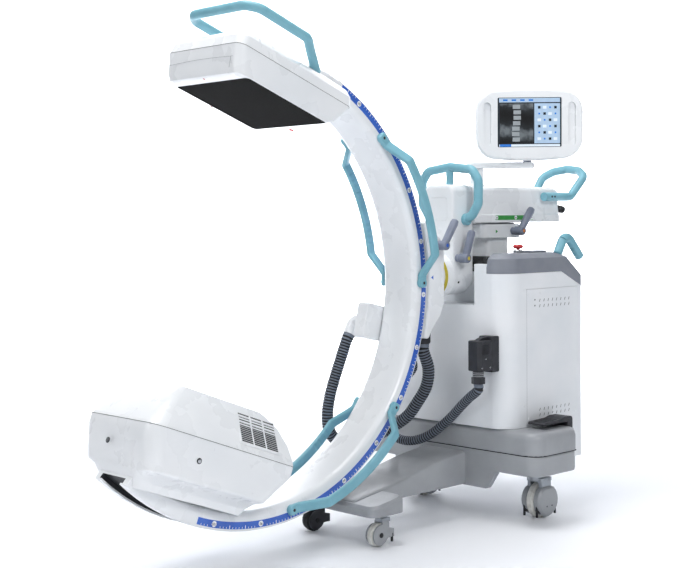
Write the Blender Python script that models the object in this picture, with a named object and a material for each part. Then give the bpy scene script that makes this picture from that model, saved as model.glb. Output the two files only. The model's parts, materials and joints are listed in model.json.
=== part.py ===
"""Mobile C-arm X-ray stand, modelled in metres, +Z up, the C opening towards -X.

The origin lies on the floor in the middle of the footprint. Left is the -Y side.
"""
import math
from math import cos, sin, radians, pi

import bmesh
import bpy
from mathutils import Matrix, Vector

for old in list(bpy.data.objects):
    bpy.data.objects.remove(old, do_unlink=True)

# Clearances
SEAT = 0.0003
SLIDE = 0.0006

# Base
BASE_FRONT_X = 0.321
BASE_LENGTH = 0.220
BASE_HALF_WIDTH = 0.410
BASE_CORNER = 0.055
BASE_BOTTOM_Z = 0.180
BASE_SEAM_Z = 0.246
BASE_TOP_Z = 0.325
BASE_EDGE = 0.024
APRON_BOTTOM_Z = 0.117
APRON_HALF_WIDTH = 0.210
SKIRT_BOTTOM_Z = 0.146
LEG_HALF_WIDTH = 0.100
LEG_FRONT_TOP_Z = 0.162
LEG_REAR_TOP_Z = 0.236
LEG_REACH = 0.550
CROSSBAR_DEPTH = 0.150
CROSSBAR_HALF_WIDTH = 0.200
CROSSBAR_BOTTOM_Z = 0.105
CROSSBAR_FRONT_TOP_Z = 0.138
CROSSBAR_REAR_TOP_Z = 0.158

# Brake pedals
PEDAL_OUTER_MARGIN = 0.041
PEDAL_LENGTH = 0.150
PEDAL_THICKNESS = 0.012
PEDAL_RISE = 0.015
PEDAL_PIN_RADIUS = 0.005
PEDAL_GAP_TO_CART = 0.012

# Rear casters
REAR_WHEEL_RADIUS = 0.0625
REAR_WHEEL_WIDTH = 0.028
REAR_WHEEL_MARGIN = 0.140
REAR_TRAIL = 0.026
REAR_STEM_INSET = 0.051
REAR_COVER_WIDTH = 0.026
REAR_COVER_RADIUS = 0.0560

# Front casters
FRONT_WHEEL_RADIUS = 0.0375
FRONT_WHEEL_WIDTH = 0.022
FRONT_WHEEL_MARGIN = 0.050
FRONT_TRAIL = 0.026
FRONT_STEM_INSET = 0.091
FRONT_PLATE = 0.006

# Cart body
CART_WIDTH_SHARE = 0.70
CART_LENGTH = 0.425
CART_CORNER = 0.073
CART_BOTTOM_Z = 0.190
CART_TOP_Z = 0.850
PANEL_FRONT_MARGIN = 0.105
PANEL_REAR_MARGIN = 0.035
PANEL_THICKNESS = 0.004
VENT_SLOTS = 8
VENT_ROW_PITCH = 0.019

# Top cover and its tray
COVER_BAND = 0.050
COVER_CHAMFER = 0.018
COVER_ARM_WIDTH = 0.089
COVER_OPENING_SHARE = 0.847
INSERT_HEIGHT = 0.032
TRAY_TOP_Z = 0.902
SLEEVE_WALL = 0.008
SLEEVE_LENGTH = 0.200
ESTOP_SHARE = 0.30
ESTOP_FROM_SIDE = 0.055
ESTOP_RADIUS = 0.0175
ESTOP_TRAVEL = 0.004

# Cart grips
CART_GRIP_DIAMETER = 0.033
CART_GRIP_FROM_SIDE = 0.037
CART_GRIP_FROM_REAR = 0.102

# Connector on the front of the cart
PLUG_FROM_SIDE = 0.0685
PLUG_HALF_WIDTH = 0.0275
PLUG_BOTTOM_Z = 0.528
PLUG_TOP_Z = 0.636
PLUG_FLANGE = 0.030
PLUG_DEPTH = 0.062
CART_HOSE_DIAMETER = 0.033

# Lifting column
COLUMN_SHARE = 0.60
COLUMN_LENGTH_X = 0.120
COLUMN_WIDTH_Y = 0.090
COLUMN_CORNER = 0.020
COLUMN_BOTTOM_Z = 0.400
COLUMN_TOP_Z = 0.966
PIVOT_RADIUS = 0.024
PIVOT_DEPTH = 0.045

# Swivel collar and its slide rail
COLLAR_FRONT = 0.108
COLLAR_REAR = 0.105
COLLAR_HALF_WIDTH = 0.065
COLLAR_HEIGHT = 0.050
RAIL_NECK = 0.020
RAIL_HALF_WIDTH = 0.040
RAIL_NECK_HEIGHT = 0.028
RAIL_HEAD_HEIGHT = 0.026

# Horizontal arm
ARM_GAP_Z = 0.005
ARM_HALF_WIDTH = 0.070
ARM_HEIGHT = 0.129
ARM_LIP_HEIGHT = 0.030
ARM_LIP = 0.003
ARM_REAR = 0.320
ARM_TRAVEL = 0.200

# Vertical head
HEAD_DEPTH = 0.111
HEAD_HALF_WIDTH = 0.069
HEAD_TOP_Z = 1.155
HEAD_REAR_FROM_COLUMN = 0.167

# Recess in the cart's front that the head sinks into; it leaves room for the swivel
RECESS_HALF_WIDTH = 0.143
RECESS_REAR_GAP = 0.025
RECESS_FLOOR_GAP = 0.030

# Angulation axis, disc and carriage
AXIS_Z = 0.840
DISC_RADIUS = 0.080
DISC_THICKNESS = 0.060
DISC_STEP = 0.024
CARRIAGE_DEPTH = 0.075
CARRIAGE_HALF_WIDTH = 0.085
CARRIAGE_REACH = 15.6
TRACK_GAP = 0.004

# C profile; angles are degrees about its centre, from the line through the carriage
RING_OUTER = 0.718
RING_THICKNESS = 0.060
RING_HALF_WIDTH = 0.0765
RING_CENTRE_Z = 0.832
RING_TIP = 84.4
RING_TAIL = -113.5
RING_STEP = 4.0
ORBIT = 20.77
TRACK_MOUTH = 0.046
TRACK_UNDERCUT = 0.056
TRACK_LIP = 0.006
TRACK_DEPTH = 0.022

# Grips on the C
GRIP_WIDTH = 0.032
GRIP_STANDOFF = 0.072
GRIP_FOOT_LENGTH = 0.050
UPPER_GRIP = (63.8, 20.1)
LOWER_GRIP = (-16.2, -61.2)

# Cable entry on the C and the hose loop
CABLE_BOX_ANGLE = 7.8
CABLE_BOX_LENGTH = 0.120
CABLE_BOX_DEPTH = 0.050
LOOP_HOSE_DIAMETER = 0.042
GLAND_SIDE = 0.040

# Detector, in the beam's own frame: u across the beam, w along it from the C's centre
DETECTOR_HALF_WIDTH = 0.178
DETECTOR_SEAM_GAP = 0.052
DETECTOR_BODY_HEIGHT = 0.080
DETECTOR_COVER_HEIGHT = 0.086
DETECTOR_FRONT_U = -0.400
DETECTOR_REAR_U = 0.062
DETECTOR_CORNER = 0.030
DETECTOR_HANDLE = 0.030

# Tube unit, in the same frame
TUBE_HALF_WIDTH = 0.170
TUBE_SEAM_W = -0.480
TUBE_TOP_W = -0.350
TUBE_COVE_W = -0.606
TUBE_FRONT_U = -0.318
TUBE_REAR_U = 0.218
TUBE_CORNER = 0.045
TUBE_SADDLE_HALF_WIDTH = 0.116
GRILLE_SLOTS = 10

# Handles and levers
FRONT_LOOP_DIAMETER = 0.032
REAR_LOOP_DIAMETER = 0.032
LEVER_HUB_RADIUS = 0.0165
LEVER_HUB_LENGTH = 0.052
LEVER_ARM = 0.100

# Monitor
MONITOR_TURN = 46.1
MONITOR_POST_FROM_COLUMN = 0.070
MONITOR_POST_RADIUS = 0.0235
MONITOR_ARM_Z = 1.214
MONITOR_ARM_HEIGHT = 0.022
MONITOR_ARM_LENGTH = 0.180
MONITOR_WIDTH = 0.380
MONITOR_HEIGHT = 0.221
MONITOR_BOW = 0.016
MONITOR_DEPTH = 0.042
MONITOR_BOTTOM_Z = 1.2545
MONITOR_OFFSET = 0.046
SCREEN_WIDTH = 0.225
SCREEN_HEIGHT = 0.174

# Places that follow from the sizes
BASE_REAR_X = BASE_FRONT_X + BASE_LENGTH
CART_FRONT_X = BASE_FRONT_X
CART_REAR_X = CART_FRONT_X + CART_LENGTH
CART_HALF_WIDTH = BASE_HALF_WIDTH * CART_WIDTH_SHARE
PEDAL_WIDTH = BASE_HALF_WIDTH - CART_HALF_WIDTH - PEDAL_GAP_TO_CART - PEDAL_OUTER_MARGIN
REAR_WHEEL_Y = BASE_HALF_WIDTH - REAR_WHEEL_MARGIN
FRONT_WHEEL_Y = CROSSBAR_HALF_WIDTH - FRONT_WHEEL_MARGIN
COVER_OPENING_HALF_WIDTH = CART_HALF_WIDTH - COVER_ARM_WIDTH
CROSSBAR_FRONT_X = BASE_FRONT_X - LEG_REACH
REAR_STEM_X = BASE_REAR_X - REAR_STEM_INSET
FRONT_STEM_X = CROSSBAR_FRONT_X + FRONT_STEM_INSET
PANEL_FRONT_X = CART_FRONT_X + PANEL_FRONT_MARGIN
PANEL_REAR_X = CART_REAR_X - PANEL_REAR_MARGIN
COVER_OPENING_REAR_X = CART_FRONT_X + CART_LENGTH * COVER_OPENING_SHARE
ESTOP_X = CART_FRONT_X + CART_LENGTH * ESTOP_SHARE
ESTOP_Y = ESTOP_FROM_SIDE - CART_HALF_WIDTH
PLUG_Y = PLUG_FROM_SIDE - CART_HALF_WIDTH
CART_GRIP_Y = CART_HALF_WIDTH - CART_GRIP_FROM_SIDE
CART_GRIP_X = CART_REAR_X - CART_GRIP_FROM_REAR
COLUMN_X = CART_FRONT_X + CART_LENGTH * COLUMN_SHARE
MONITOR_POST_X = COLUMN_X - MONITOR_POST_FROM_COLUMN
COVER_TOP_Z = CART_TOP_Z + COVER_BAND + COVER_CHAMFER
COLLAR_BOTTOM_Z = COLUMN_TOP_Z + SEAT
COLLAR_TOP_Z = COLLAR_BOTTOM_Z + COLLAR_HEIGHT
ARM_BOTTOM_Z = COLLAR_TOP_Z + ARM_GAP_Z
ARM_TOP_Z = ARM_BOTTOM_Z + ARM_HEIGHT
HEAD_REAR_X = COLUMN_X - HEAD_REAR_FROM_COLUMN
HEAD_FRONT_X = HEAD_REAR_X - HEAD_DEPTH
ARM_FRONT_X = HEAD_REAR_X + SEAT
ARM_REAR_X = COLUMN_X + ARM_REAR
DISC_REAR_X = HEAD_FRONT_X - SEAT
DISC_FRONT_X = DISC_REAR_X - DISC_THICKNESS
CARRIAGE_REAR_X = DISC_FRONT_X - SEAT
RING_X = CARRIAGE_REAR_X - CARRIAGE_DEPTH - TRACK_GAP - RING_OUTER
RING_INNER = RING_OUTER - RING_THICKNESS
DETECTOR_SEAM_W = RING_INNER - DETECTOR_SEAM_GAP
DETECTOR_FACE_W = DETECTOR_SEAM_W - DETECTOR_BODY_HEIGHT
DETECTOR_TOP_W = DETECTOR_SEAM_W + DETECTOR_COVER_HEIGHT
RING_TURN = (RING_TIP - RING_TAIL) / round((RING_TIP - RING_TAIL) / RING_STEP)
RECESS_REAR_X = HEAD_REAR_X + RECESS_REAR_GAP
RECESS_FLOOR_Z = AXIS_Z - HEAD_HALF_WIDTH - RECESS_FLOOR_GAP
WELL_X = COLUMN_LENGTH_X / 2 + SLIDE + SLEEVE_WALL + SLIDE
WELL_Y = COLUMN_WIDTH_Y / 2 + SLIDE + SLEEVE_WALL + SLIDE

LOOKS = {
    "white": ("F1F3F4", 0.35, 0.0),
    "teal": ("9CCAD8", 0.40, 0.0),
    "grey": ("A9ABAE", 0.50, 0.0),
    "dark_grey": ("8F939C", 0.45, 0.0),
    "cover_grey": ("9B9EA6", 0.50, 0.0),
    "black": ("16181A", 0.55, 0.0),
    "graphite": ("3A3D44", 0.55, 0.0),
    "hose": ("6F7882", 0.60, 0.0),
    "red": ("C8282E", 0.35, 0.0),
    "steel": ("B8BBBE", 0.30, 1.0),
    "aluminium": ("D6D8DA", 0.35, 1.0),
    "tyre": ("E6E6E2", 0.60, 0.0),
    "screen": ("1C2126", 0.12, 0.0),
}


def look(kind):
    """A Principled material, made once for each kind."""
    if kind in bpy.data.materials:
        return bpy.data.materials[kind]
    colour, roughness, metallic = LOOKS[kind]
    material = bpy.data.materials.new(kind)
    material.use_nodes = True
    shader = material.node_tree.nodes["Principled BSDF"]
    rgb = [(int(colour[i:i + 2], 16) / 255) ** 2.2 for i in (0, 2, 4)]
    shader.inputs["Base Color"].default_value = (*rgb, 1)
    shader.inputs["Roughness"].default_value = roughness
    shader.inputs["Metallic"].default_value = metallic
    return material


def between(first, last, share):
    """The arm of an arc, part of the way from the first arm to the last one."""
    whole = first.angle(last)
    if whole < 1e-4:
        return first.copy()
    return (first * sin((1 - share) * whole) + last * sin(share * whole)) / sin(whole)


def rounded(corners, radii, steps=4):
    """A flat outline with its corners rounded; radii is one number or one for each corner."""
    count = len(corners)
    if not hasattr(radii, "__len__"):
        radii = [radii] * count
    outline = []
    for i, corner in enumerate(corners):
        here = Vector(corner)
        before = Vector(corners[i - 1]) - here
        after = Vector(corners[(i + 1) % count]) - here
        half = before.angle(after) / 2
        reach = min(radii[i] / math.tan(half), 0.49 * before.length, 0.49 * after.length)
        if reach < 1e-6:
            outline.append((here.x, here.y))
            continue
        radius = reach * math.tan(half)
        start = here + before.normalized() * reach
        end = here + after.normalized() * reach
        middle = here + (before.normalized() + after.normalized()).normalized() * radius / sin(half)
        first = start - middle
        last = end - middle
        for k in range(steps + 1):
            point = middle + between(first, last, k / steps)
            outline.append((point.x, point.y))
    return outline


def rectangle(x0, x1, y0, y1, radius=0.0, steps=4):
    corners = [(x0, y0), (x1, y0), (x1, y1), (x0, y1)]
    return rounded(corners, radius, steps) if radius else corners


def circle(radius, steps=24, x=0.0, y=0.0):
    return [(x + radius * cos(2 * pi * k / steps),
             y + radius * sin(2 * pi * k / steps)) for k in range(steps)]


def lift(plane, a, b, c):
    """A point given in a plane (a, b) and at height c over it."""
    if plane == "XY":
        return Vector((a, b, c))
    if plane == "XZ":
        return Vector((a, c, b))
    return Vector((c, a, b))


def solid(rings, name="piece"):
    """A closed body lofted through rings that all have the same number of points."""
    bm = bmesh.new()
    rows = [[bm.verts.new(p) for p in ring] for ring in rings]
    count = len(rows[0])
    for low, high in zip(rows, rows[1:]):
        for k in range(count):
            bm.faces.new((low[k], low[(k + 1) % count], high[(k + 1) % count], high[k]))
    bm.faces.new(rows[0])
    bm.faces.new(rows[-1])
    return finish(bm, name)


def finish(bm, name="piece"):
    bmesh.ops.remove_doubles(bm, verts=bm.verts, dist=1e-6)
    bmesh.ops.recalc_face_normals(bm, faces=bm.faces)
    mesh = bpy.data.meshes.new(name)
    bm.to_mesh(mesh)
    bm.free()
    obj = bpy.data.objects.new(name, mesh)
    bpy.context.scene.collection.objects.link(obj)
    return obj


def prism(outline, low, high, plane="XY"):
    """An outline extruded square to its plane."""
    return solid([[lift(plane, a, b, low) for a, b in outline],
                  [lift(plane, a, b, high) for a, b in outline]])


def block(x0, x1, y0, y1, z0, z1):
    return prism(rectangle(x0, x1, y0, y1), z0, z1)


def rod(radius, low, high, a=0.0, b=0.0, plane="XY", steps=24, top=None):
    """A round bar square to the plane; top gives another radius at its far end."""
    ends = ((low, radius), (high, top or radius))
    return solid([[lift(plane, p, q, c) for p, q in circle(r, steps, a, b)] for c, r in ends])


def turned(profile, a=0.0, b=0.0, plane="XY", steps=32):
    """A turned body from (radius, height) pairs, its axis square to the plane."""
    return solid([[lift(plane, p, q, c) for p, q in circle(max(r, 1e-4), steps, a, b)] for r, c in profile])


def swept(section, start, end, step):
    """A (radius, y) section carried round the Y axis; angles in degrees, towards +Z."""
    count = max(1, round(abs(end - start) / step))
    rings = []
    for k in range(count + 1):
        a = radians(start + (end - start) * k / count)
        rings.append([Vector((r * cos(a), y, r * sin(a))) for r, y in section])
    return solid(rings)


def bake(obj):
    """Turns modifiers or a curve into the plain mesh that they give."""
    graph = bpy.context.evaluated_depsgraph_get()
    mesh = bpy.data.meshes.new_from_object(obj.evaluated_get(graph))
    if obj.type == "CURVE":
        new = bpy.data.objects.new(obj.name, mesh)
        bpy.context.scene.collection.objects.link(new)
        bpy.data.objects.remove(obj, do_unlink=True)
        return new
    obj.modifiers.clear()
    obj.data = mesh
    return obj


def combine(base, others, operation):
    for other in others:
        change = base.modifiers.new("combine", "BOOLEAN")
        change.operation = operation
        change.solver = "EXACT"
        change.object = other
        base = bake(base)
        bpy.data.objects.remove(other, do_unlink=True)
    return base


def unite(base, *others):
    return combine(base, others, "UNION")


def cut(base, *others):
    return combine(base, others, "DIFFERENCE")


def common(base, *others):
    return combine(base, others, "INTERSECT")


def soften(obj, width, segments=2, angle=40):
    """Rounds the edges that are sharper than the angle."""
    change = obj.modifiers.new("soften", "BEVEL")
    change.width = width
    change.segments = segments
    change.limit_method = "ANGLE"
    change.angle_limit = radians(angle)
    change.use_clamp_overlap = True
    return bake(obj)


def moved(obj, matrix):
    obj.data.transform(matrix)
    return obj


def node(obj, name, kind, origin=None, parent=None, angle=38):
    """Names a finished piece, gives it its look and puts its origin on its axis."""
    obj.name = name
    obj.data.name = name
    obj.data.materials.clear()
    obj.data.materials.append(look(kind))
    if origin is not None:
        obj.data.transform(Matrix.Translation(-Vector(origin)))
        obj.location = origin
    if parent is not None:
        obj.parent = parent
    obj.data.shade_smooth()
    obj.data.set_sharp_from_angle(angle=radians(angle))
    return obj


def mirrored(obj):
    """A copy of a piece on the other side of the middle plane."""
    other = obj.copy()
    other.data = obj.data.copy()
    bpy.context.scene.collection.objects.link(other)
    other.data.transform(Matrix.Scale(-1, 4, (0, 1, 0)))
    other.data.flip_normals()
    return other


def bent(points, radius, step=20):
    """A path of straight runs with its corners bent round."""
    path = [Vector(points[0])]
    for before, here, after in zip(points, points[1:], points[2:]):
        here = Vector(here)
        one = Vector(before) - here
        two = Vector(after) - here
        half = one.angle(two) / 2
        if half > pi / 2 - 0.02:
            path.append(here)
            continue
        reach = min(radius / math.tan(half), 0.45 * one.length, 0.45 * two.length)
        middle = here + (one.normalized() + two.normalized()).normalized() * reach / cos(half)
        first = here + one.normalized() * reach - middle
        last = here + two.normalized() * reach - middle
        count = max(2, round(math.degrees(first.angle(last)) / step))
        path.extend(middle + between(first, last, k / count) for k in range(count + 1))
    path.append(Vector(points[-1]))
    return path


def flowing(points, spacing):
    """A smooth curve through the points, read off about every spacing metres."""
    points = [Vector(p) for p in points]
    ends = [2 * points[0] - points[1]] + points + [2 * points[-1] - points[-2]]
    fine = []
    for p0, p1, p2, p3 in zip(ends, ends[1:], ends[2:], ends[3:]):
        for k in range(24):
            t = k / 24
            bend = 2 * p1 + (p2 - p0) * t + (2 * p0 - 5 * p1 + 4 * p2 - p3) * t ** 2
            fine.append(0.5 * (bend + (3 * p1 - p0 - 3 * p2 + p3) * t ** 3))
    fine.append(points[-1])
    length = sum((b - a).length for a, b in zip(fine, fine[1:]))
    count = max(2, round(length / spacing))
    path = [fine[0]]
    walked = 0.0
    for a, b in zip(fine, fine[1:]):
        walked += (b - a).length
        if walked >= length * len(path) / count and len(path) < count:
            path.append(b)
    path.append(fine[-1])
    return path


def tube(path, diameter, name="tube", resolution=2):
    """A round bar or hose along a path, with closed ends."""
    curve = bpy.data.curves.new(name, "CURVE")
    curve.dimensions = "3D"
    curve.bevel_depth = diameter / 2
    curve.bevel_resolution = resolution
    curve.use_fill_caps = True
    spline = curve.splines.new("POLY")
    spline.points.add(len(path) - 1)
    for point, place in zip(spline.points, path):
        point.co = (*place, 1)
    obj = bpy.data.objects.new(name, curve)
    bpy.context.scene.collection.objects.link(obj)
    return obj


def bar(path, section, across):
    """A flat-sided bar along a path; across is the bar's width direction at each point."""
    rings = []
    for k, place in enumerate(path):
        way = (path[min(k + 1, len(path) - 1)] - path[max(k - 1, 0)]).normalized()
        side = (across[k] - way * across[k].dot(way)).normalized()
        rise = way.cross(side)
        rings.append([place + side * a + rise * b for a, b in section])
    return solid(rings)


# Base: one casting with the front leg, and the cover that closes it from above
def base_pieces():
    rear = CART_REAR_X - 0.018
    plan = rounded(
        [(BASE_FRONT_X, -BASE_HALF_WIDTH), (BASE_REAR_X, -BASE_HALF_WIDTH),
         (BASE_REAR_X, BASE_HALF_WIDTH), (BASE_FRONT_X, BASE_HALF_WIDTH)],
        [BASE_CORNER, 0.020, 0.020, BASE_CORNER], 5)
    lower = soften(prism(plan, BASE_BOTTOM_Z, BASE_SEAM_Z), 0.003, 1, 60)
    skirt = prism(rectangle(BASE_REAR_X - 0.02, rear, -CART_HALF_WIDTH + 0.006, CART_HALF_WIDTH - 0.006,
                            0.03),
                  SKIRT_BOTTOM_Z, CART_BOTTOM_Z - SEAT)
    spine = block(BASE_FRONT_X + 0.01, BASE_REAR_X, -LEG_HALF_WIDTH, LEG_HALF_WIDTH, SKIRT_BOTTOM_Z,
                  BASE_BOTTOM_Z + 0.01)
    apron = prism(
        rounded([(-APRON_HALF_WIDTH - 0.030, BASE_BOTTOM_Z + 0.004),
                 (-APRON_HALF_WIDTH + 0.014, APRON_BOTTOM_Z),
                 (APRON_HALF_WIDTH - 0.014, APRON_BOTTOM_Z), (APRON_HALF_WIDTH + 0.030,
                                                              BASE_BOTTOM_Z + 0.004)],
                [0.0, 0.012, 0.012, 0.0], 2),
        BASE_FRONT_X + 0.0006, BASE_FRONT_X + 0.022, "YZ")
    leg_front = CROSSBAR_FRONT_X + 0.012
    leg_side = [(leg_front, APRON_BOTTOM_Z), (BASE_FRONT_X + 0.014, APRON_BOTTOM_Z),
                (BASE_FRONT_X + 0.014, LEG_REAR_TOP_Z), (BASE_FRONT_X - 0.13, 0.5 * (LEG_REAR_TOP_Z + 0.2)),
                (BASE_FRONT_X - 0.30, 0.181), (leg_front, LEG_FRONT_TOP_Z - 0.018)]
    leg = prism(rounded(leg_side, [0.0, 0.0, 0.0, 0.2, 0.2, 0.0], 4), -LEG_HALF_WIDTH, LEG_HALF_WIDTH, "XZ")
    leg = soften(leg, 0.014, 2, 50)
    cross_plan = rectangle(CROSSBAR_FRONT_X, CROSSBAR_FRONT_X + CROSSBAR_DEPTH,
                           -CROSSBAR_HALF_WIDTH, CROSSBAR_HALF_WIDTH, 0.032, 4)
    slope = (CROSSBAR_REAR_TOP_Z - CROSSBAR_FRONT_TOP_Z) / CROSSBAR_DEPTH
    low = [Vector((x, y, CROSSBAR_BOTTOM_Z)) for x, y in cross_plan]
    middle = [Vector((x, y, CROSSBAR_FRONT_TOP_Z - 0.010 + slope * (x - CROSSBAR_FRONT_X))) for x,
              y in cross_plan]
    mid_x = CROSSBAR_FRONT_X + CROSSBAR_DEPTH / 2
    top = [Vector((mid_x + (x - mid_x) * 0.88, y * 0.955,
                   CROSSBAR_FRONT_TOP_Z + slope * (x - CROSSBAR_FRONT_X)))
           for x, y in cross_plan]
    cross = solid([low, middle, top])
    chassis = unite(lower, skirt, spine, apron, leg, cross)
    for side in (-1, 1):
        stem = rod(0.0105 + SLIDE, 0, BASE_BOTTOM_Z + 0.03, REAR_STEM_X, side * REAR_WHEEL_Y, steps=16)
        small = rod(0.0065 + SLIDE, 0, CROSSBAR_BOTTOM_Z + 0.022, FRONT_STEM_X, side * FRONT_WHEEL_Y,
                    steps=12)
        chassis = cut(chassis, stem, small)
    node(chassis, "base_chassis", "grey")

    tops = []
    levels = ((BASE_SEAM_Z + SEAT, 0.004), (BASE_SEAM_Z + 0.006, 0.0), (BASE_TOP_Z - BASE_EDGE, 0.0),
              (BASE_TOP_Z - BASE_EDGE * 0.45, 0.0045), (BASE_TOP_Z - BASE_EDGE * 0.12,
                                                        0.0135), (BASE_TOP_Z, 0.024))
    for z, inset in levels:
        shape = rounded(
            [(BASE_FRONT_X + inset, -BASE_HALF_WIDTH + inset), (BASE_REAR_X, -BASE_HALF_WIDTH + inset),
             (BASE_REAR_X, BASE_HALF_WIDTH - inset), (BASE_FRONT_X + inset, BASE_HALF_WIDTH - inset)],
            [BASE_CORNER - inset, 0.012, 0.012, BASE_CORNER - inset], 5)
        tops.append([Vector((x, y, z)) for x, y in shape])
    cover = solid(tops)
    inner = CART_HALF_WIDTH + PEDAL_GAP_TO_CART
    pin_x = BASE_REAR_X + 0.0175
    pin_z = BASE_TOP_Z - 0.018
    for side in (-1, 1):
        for y in (inner - 0.0075, inner + PEDAL_WIDTH + 0.0015):
            ear = rounded([(BASE_REAR_X - 0.01, pin_z - 0.014), (pin_x + 0.011, pin_z - 0.011),
                           (pin_x + 0.011, pin_z + 0.011), (BASE_REAR_X - 0.01, pin_z + 0.0125)],
                          [0, 0.01, 0.01, 0], 3)
            ys = sorted((side * y, side * (y + 0.006)))
            cover = unite(cover, prism(ear, ys[0], ys[1], "XZ"))
        ys = sorted((side * (inner - 0.004), side * (inner + PEDAL_WIDTH + 0.004)))
        cover = unite(cover, rod(PEDAL_PIN_RADIUS, ys[0], ys[1], pin_x, pin_z, "XZ", 12))
    node(cover, "base_cover", "grey")

    # Each pedal rocks on the pin behind the cover; its plate lies over the cover
    plate_low = BASE_TOP_Z + PEDAL_RISE - SLIDE
    plate_top = plate_low + PEDAL_THICKNESS
    front = pin_x - PEDAL_LENGTH
    side_view = rounded(
        [(front, plate_low), (BASE_REAR_X + 0.0035, plate_low), (BASE_REAR_X + 0.0035, pin_z - 0.012),
         (pin_x + 0.015, pin_z - 0.012), (pin_x + 0.015, plate_top + 0.006), (BASE_REAR_X - 0.010,
                                                                              plate_top + 0.006),
         (BASE_REAR_X - 0.035, plate_top), (front + 0.010, plate_top - 0.003)],
        [0.003, 0.004, 0.003, 0.008, 0.010, 0.010, 0.02, 0.008], 2)
    for side, name in ((-1, "brake_pedal_left"), (1, "brake_pedal_right")):
        ys = sorted((side * inner, side * (inner + PEDAL_WIDTH)))
        pedal = prism(side_view, ys[0], ys[1], "XZ")
        pedal = soften(pedal, 0.0015, 1, 60)
        pedal = cut(pedal,
                    rod(PEDAL_PIN_RADIUS + SLIDE, ys[0] - 0.01, ys[1] + 0.01, pin_x, pin_z, "XZ", 12))
        node(pedal, name, "graphite", (pin_x, side * (inner + PEDAL_WIDTH / 2), pin_z))


# Rear casters: a wheel between two side covers, on a stem, with four rods that push cables away
def rear_casters():
    wheel_x = REAR_STEM_X + REAR_TRAIL
    for side, word in ((-1, "left"), (1, "right")):
        y = side * REAR_WHEEL_Y
        z = REAR_WHEEL_RADIUS
        half = REAR_WHEEL_WIDTH / 2
        profile = [(0.0065 + SLIDE, -half), (REAR_WHEEL_RADIUS * 0.55, -half),
                   (REAR_WHEEL_RADIUS * 0.60, -half * 0.6),
                   (REAR_WHEEL_RADIUS * 0.82, -half), (REAR_WHEEL_RADIUS, -half * 0.65)]
        profile = profile + [(r, -c) for r, c in reversed(profile)]
        wheel = ring_body(profile, wheel_x, z, y, 24)
        node(wheel, "rear_wheel_" + word, "tyre", (wheel_x, y, z))

        plates = None
        for way in (-1, 1):
            near = y + way * (half + 0.002)
            far = y + way * (half + 0.002 + REAR_COVER_WIDTH)
            ring = [(wheel_x + REAR_COVER_RADIUS * cos(a), z + min(REAR_COVER_RADIUS * sin(a), 0.047))
                    for a in [2 * pi * k / 22 for k in range(22)]]
            small = [(wheel_x + (p - wheel_x) * 0.86, z + (q - z) * 0.86) for p, q in ring]
            plate = solid([[lift("XZ", p, q, near) for p, q in ring],
                           [lift("XZ", p, q, y + way * (half + REAR_COVER_WIDTH - 0.006)) for p, q in ring],
                           [lift("XZ", p, q, far) for p, q in small]])
            for dx in (-0.050, 0.050):
                x = wheel_x + dx
                rods = rod(0.0045, 0.009, z - 0.004, x, y + way * (half + 0.013), steps=6)
                plate = unite(plate, rods)
            plates = plate if plates is None else unite(
                plates, plate, rod(0.0065, y - half - 0.008, y + half + 0.008, wheel_x, z, "XZ", 16))
        bridge = prism(rectangle(wheel_x - 0.034, wheel_x + 0.030, y - half - 0.018, y + half + 0.018,
                                 0.006, 2),
                       REAR_WHEEL_RADIUS * 2 + 0.003, REAR_WHEEL_RADIUS * 2 + 0.015)
        cheeks = []
        for way in (-1, 1):
            ys = sorted((y + way * (half + 0.003), y + way * (half + 0.0165)))
            cheeks.append(block(wheel_x - 0.028, wheel_x + 0.024, ys[0], ys[1], z + 0.035,
                                REAR_WHEEL_RADIUS * 2 + 0.008))
        cap = rod(0.024, REAR_WHEEL_RADIUS * 2 + 0.010, BASE_BOTTOM_Z - SEAT, REAR_STEM_X, y, steps=16)
        stem = rod(0.0105, BASE_BOTTOM_Z - 0.02, BASE_BOTTOM_Z + 0.026, REAR_STEM_X, y, steps=12)
        fork = unite(plates, *cheeks, bridge, cap, stem)
        node(fork, "rear_fork_" + word, "dark_grey", (REAR_STEM_X, y, BASE_BOTTOM_Z))


def ring_body(profile, x, z, y, steps):
    """A turned ring round a bore along Y, from (radius, y) pairs that start and end at the bore."""
    bm = bmesh.new()
    rows = []
    for k in range(steps):
        a = 2 * pi * k / steps
        rows.append([bm.verts.new((x + r * cos(a), y + c, z + r * sin(a))) for r, c in profile])
    count = len(profile)
    for k in range(steps):
        here = rows[k]
        there = rows[(k + 1) % steps]
        for j in range(count):
            bm.faces.new((here[j], here[(j + 1) % count], there[(j + 1) % count], there[j]))
    return finish(bm)


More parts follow.
